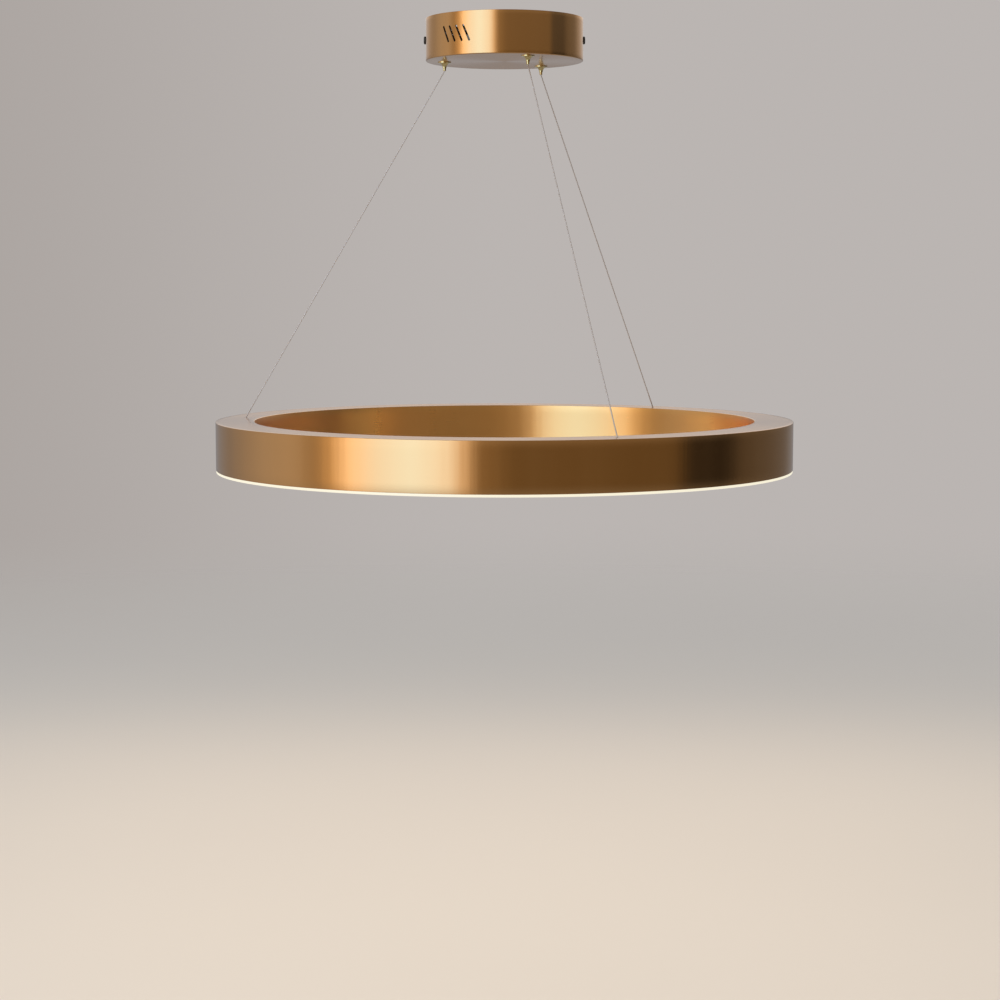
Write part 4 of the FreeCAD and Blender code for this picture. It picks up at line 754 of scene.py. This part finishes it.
def open_holes(radius, angle, holes):
    """Moves the grid round each hole so that one loop of its cells becomes the hole's circle.

    In a block about the hole, with (p, q) from -1 to 1 and m the larger of |p| and |q|, the loop
    m = 1/2 moves to the circle, the edge m = 1 stays, and the loops between lie evenly.
    """
    steps = np.linspace(-1, 1, HOLE_CELLS + 1)
    m = np.maximum(np.abs(steps[:, None]), np.abs(steps[None, :]))
    for middle, row, column in holes:
        block = (slice(row, row + HOLE_CELLS + 1), slice(column, column + HOLE_CELLS + 1))
        across = radius[block] - ANCHOR_RADIUS
        along = ANCHOR_RADIUS * (angle[block] - middle)
        reach = np.maximum(np.hypot(across, along), TINY)
        wanted = WIRE_HOLE + (reach / np.maximum(m, 0.5) - WIRE_HOLE) * np.clip(2 * m - 1, 0, 1)
        share = np.where(m >= 0.5, wanted / reach, 1.0)
        radius[block] = ANCHOR_RADIUS + across * share
        angle[block] = middle + along * share / ANCHOR_RADIUS


def wall_inside(face, inward):
    """A wall's side in the channel from its groove up to the top; inward is 1 or -1."""
    rib_low = RIB_TOP - RIB_THICKNESS
    groove = face - inward * GROOVE_DEPTH
    rib = face + inward * RIB_REACH
    return [(face, GROOVE_LOW), (groove, GROOVE_LOW), (groove, GROOVE_HIGH), (face, GROOVE_HIGH),
            (face, rib_low), (rib, rib_low), (rib, RIB_TOP), (face, RIB_TOP),
            (face, RING_TOP - RING_WALL)]


def make_ring():
    """The ring's profile carried round the axis as a closed grid, with three holes in its top."""
    step = math.tau / RING_COLUMNS
    angle = WIRE_ANGLES[0] + step * (np.arange(RING_COLUMNS) - HOLE_CELLS / 2)
    outer_face = RING_OUTER - RING_WALL
    inner_face = RING_INNER + RING_WALL
    half_block = HOLE_CELLS / 2
    hole_rows = ANCHOR_RADIUS + HOLE_CELL * np.linspace(half_block, -half_block, HOLE_CELLS + 1)
    outer_rows = np.linspace(RING_OUTER - RING_EDGE, hole_rows[0], ROWS_BESIDE_HOLES + 2)
    inner_rows = np.linspace(hole_rows[-1], RING_INNER + RING_EDGE, ROWS_BESIDE_HOLES + 2)
    top = np.concatenate([outer_rows[1:-1], hole_rows, inner_rows[1:-1]])
    wall = np.linspace(RING_FOOT, RING_TOP, ROWS_ON_WALL + 2)[1:-1]
    outside = np.concatenate([
        [(outer_face, RING_FOOT)],
        arc((RING_OUTER - FOOT_EDGE, RING_FOOT + FOOT_EDGE), FOOT_EDGE, -90, 0),
        [(RING_OUTER, z) for z in wall],
        arc((RING_OUTER - RING_EDGE, RING_TOP - RING_EDGE), RING_EDGE, 0, 90),
    ])
    inside = np.concatenate([
        arc((RING_INNER + RING_EDGE, RING_TOP - RING_EDGE), RING_EDGE, 90, 180),
        [(RING_INNER, z) for z in wall[::-1]],
        arc((RING_INNER + FOOT_EDGE, RING_FOOT + FOOT_EDGE), FOOT_EDGE, 180, 270),
        [(inner_face, RING_FOOT), *wall_inside(inner_face, 1)],
    ])
    profile = np.concatenate([
        outside,
        [(r, RING_TOP) for r in top],
        inside,
        [(r, RING_TOP - RING_WALL) for r in top[::-1]],
        wall_inside(outer_face, -1)[::-1],
    ])
    radius = np.repeat(profile[:, :1], RING_COLUMNS, axis=1)
    height = np.repeat(profile[:, 1:], RING_COLUMNS, axis=1)
    angles = np.repeat(angle[None, :], len(profile), axis=0)
    top_row = len(outside) + ROWS_BESIDE_HOLES
    under_row = len(outside) + len(top) + len(inside) + ROWS_BESIDE_HOLES
    columns = [number * RING_COLUMNS // 3 for number in range(3)]
    open_holes(radius, angles, [(middle, row, column) for row in (top_row, under_row)
                                for middle, column in zip(WIRE_ANGLES, columns)])
    quarter = HOLE_CELLS // 4
    windows = [(top_row + quarter, top_row + 3 * quarter, under_row + quarter,
                column + quarter, column + 3 * quarter) for column in columns]
    points = carried_round(radius, angles, height)
    return new_surface("ring_profile", points, grid_faces(len(profile), RING_COLUMNS, True, windows))


def inner_wall(radius, height):
    """1 on the ring's inner wall, which is rougher and whose plating colour is painted lighter and
    warmer: a painted light for what it mirrors of its own far side.
    """
    return radius.between(RING_INNER + 0.001, RING_INNER + 0.0005)


# The inner wall's lighter plating colour is a painted light; its extra roughness is real.
ring_metal = brushed_metal("brushed_ring", inner_wall, PAINTED_LIGHT_PLATING, dull_roughness=0.10)
ring = make_ring()
ring.data.materials.append(ring_metal)
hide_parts("ring_channel")
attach(ring, "ring")


# ---------------------------------------------------------------- diffuser

# The opal acrylic ring under the metal, lit from inside. Two legs with barbs snap into the
# grooves of the ring's walls.
PLATE_LOW = -0.465
PLATE_EDGE = 0.0003
PLATE_INSET = 0.0003
PLATE_ROWS = 4
PLATE_COLUMNS = 480
LEG_TOP = RING_FOOT + 0.008
LEG_THICKNESS = 0.0014
LEG_GAP = 0.00015
BARB_REACH = 0.0006
BARB_PLAY = 0.0001
WARM_WHITE = (1.0, 0.955, 0.80, 1)
WARM_EDGE = (1.0, 0.93, 0.72, 1)
OPAL = (0.14, 0.135, 0.12, 1)
OPAL_CLOUD = (0.16, 0.155, 0.14, 1)


def leg(face, outward):
    """A leg's outline from its foot by the barb and the top to its back; outward is 1 or -1."""
    low = GROOVE_LOW + BARB_PLAY
    high = GROOVE_HIGH - BARB_PLAY
    barb = face + outward * BARB_REACH
    back = face - outward * LEG_THICKNESS
    return [(face, RING_FOOT), (face, low), (barb, low), (barb, high), (face, high),
            (face, LEG_TOP), (back, LEG_TOP), (back, RING_FOOT)]


def make_diffuser():
    """The diffuser's profile carried round the axis."""
    outer = RING_OUTER - PLATE_INSET
    inner = RING_INNER + PLATE_INSET
    outer_leg = leg(RING_OUTER - RING_WALL - LEG_GAP, 1)
    inner_leg = leg(RING_INNER + RING_WALL + LEG_GAP, -1)[::-1]
    under = np.linspace(inner + PLATE_EDGE, outer - PLATE_EDGE, PLATE_ROWS + 2)[1:-1]
    outline = np.concatenate([
        [(r, PLATE_LOW) for r in under],
        arc((outer - PLATE_EDGE, PLATE_LOW + PLATE_EDGE), PLATE_EDGE, -90, 0),
        [(outer, RING_FOOT), *outer_leg, *inner_leg, (inner, RING_FOOT)],
        arc((inner + PLATE_EDGE, PLATE_LOW + PLATE_EDGE), PLATE_EDGE, 180, 270),
    ])
    return turned("opal_ring", outline, PLATE_COLUMNS)


def glowing_opal():
    """Opal acrylic lit from inside: warm white, a little yellower towards its edges."""
    material, shader, place = new_finish("glowing_opal", Roughness=0.35, Emission_Strength=0.86)
    x, y, z = place.parts()
    middle = (RING_OUTER + RING_INNER) / 2
    half = (RING_OUTER - RING_INNER) / 2
    edgeness = ((x * x + y * y).math("SQRT") - middle).math("ABSOLUTE") / half
    edgeness.between(0.0, 1.1).blend(WARM_WHITE, WARM_EDGE).feed(shader, "Emission Color")
    place.noise(40.0).blend(OPAL, OPAL_CLOUD).feed(shader, "Base Color")
    return material


lit_opal = glowing_opal()
diffuser = make_diffuser()
diffuser.data.materials.append(lit_opal)
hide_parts("diffuser")
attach(diffuser, "ring")


# ---------------------------------------------------------------- pieces shown as built

# The other pieces show as their solids are: what the canopy holds, the grippers' plungers, caps
# and nuts, and what the ring holds. Each has its slot's finish: two colours, the roughness, and
# where they aren't the usual ones, the metallic share and the drift's scale.
FINISHES = {
    "plain_brass": ((0.72, 0.50, 0.22), (0.64, 0.42, 0.17), 0.32, 1.0),
    "zinc_steel": ((0.46, 0.46, 0.46), (0.37, 0.37, 0.38), 0.44, 1.0),
    "tray_aluminium": ((0.72, 0.73, 0.74), (0.64, 0.65, 0.66), 0.34, 1.0),
    "white_plastic": ((0.66, 0.66, 0.63), (0.61, 0.61, 0.57), 0.42),
    # The nylon is painted dark brown: a painted shade for the dark holes where the wires end in the
    # ring's top.
    "nylon": ((0.20, 0.18, 0.16), (0.15, 0.135, 0.12), 0.48),
    "black_rubber": ((0.020, 0.020, 0.021), (0.032, 0.031, 0.031), 0.68),
    "green_board": ((0.02, 0.13, 0.05), (0.03, 0.17, 0.07), 0.33, 0.0, 400.0),
    "strip_white": ((0.66, 0.66, 0.64), (0.60, 0.60, 0.57), 0.45),
    "led_phosphor": ((0.72, 0.52, 0.10), (0.66, 0.45, 0.07), 0.40),
    "lead_brown": ((0.12, 0.05, 0.022), (0.15, 0.065, 0.03), 0.42),
    "lead_blue": ((0.03, 0.12, 0.40), (0.04, 0.15, 0.46), 0.42),
    "lead_green": ((0.05, 0.28, 0.07), (0.08, 0.33, 0.09), 0.42),
    "lead_red": ((0.45, 0.03, 0.02), (0.52, 0.05, 0.03), 0.42),
    "lead_black": ((0.018, 0.018, 0.020), (0.03, 0.03, 0.032), 0.44),
    "splice_sleeve": ((0.10, 0.10, 0.11), (0.13, 0.13, 0.14), 0.5),
}

finishes = {slot: mottled(slot, *values) for slot, values in FINISHES.items()}
finishes.update({
    "wire_steel": wire_steel,
    "dark_screw": dark_screw,
    "polished_brass": polished_brass,
    "bearing_steel": bearing_steel,
    "opal": lit_opal,
})
for part in frame["record"]["subparts"]:
    if part["material_slot"] in finishes:
        frame["nodes"][part["node"]].material_slots[0].material = finishes[part["material_slot"]]
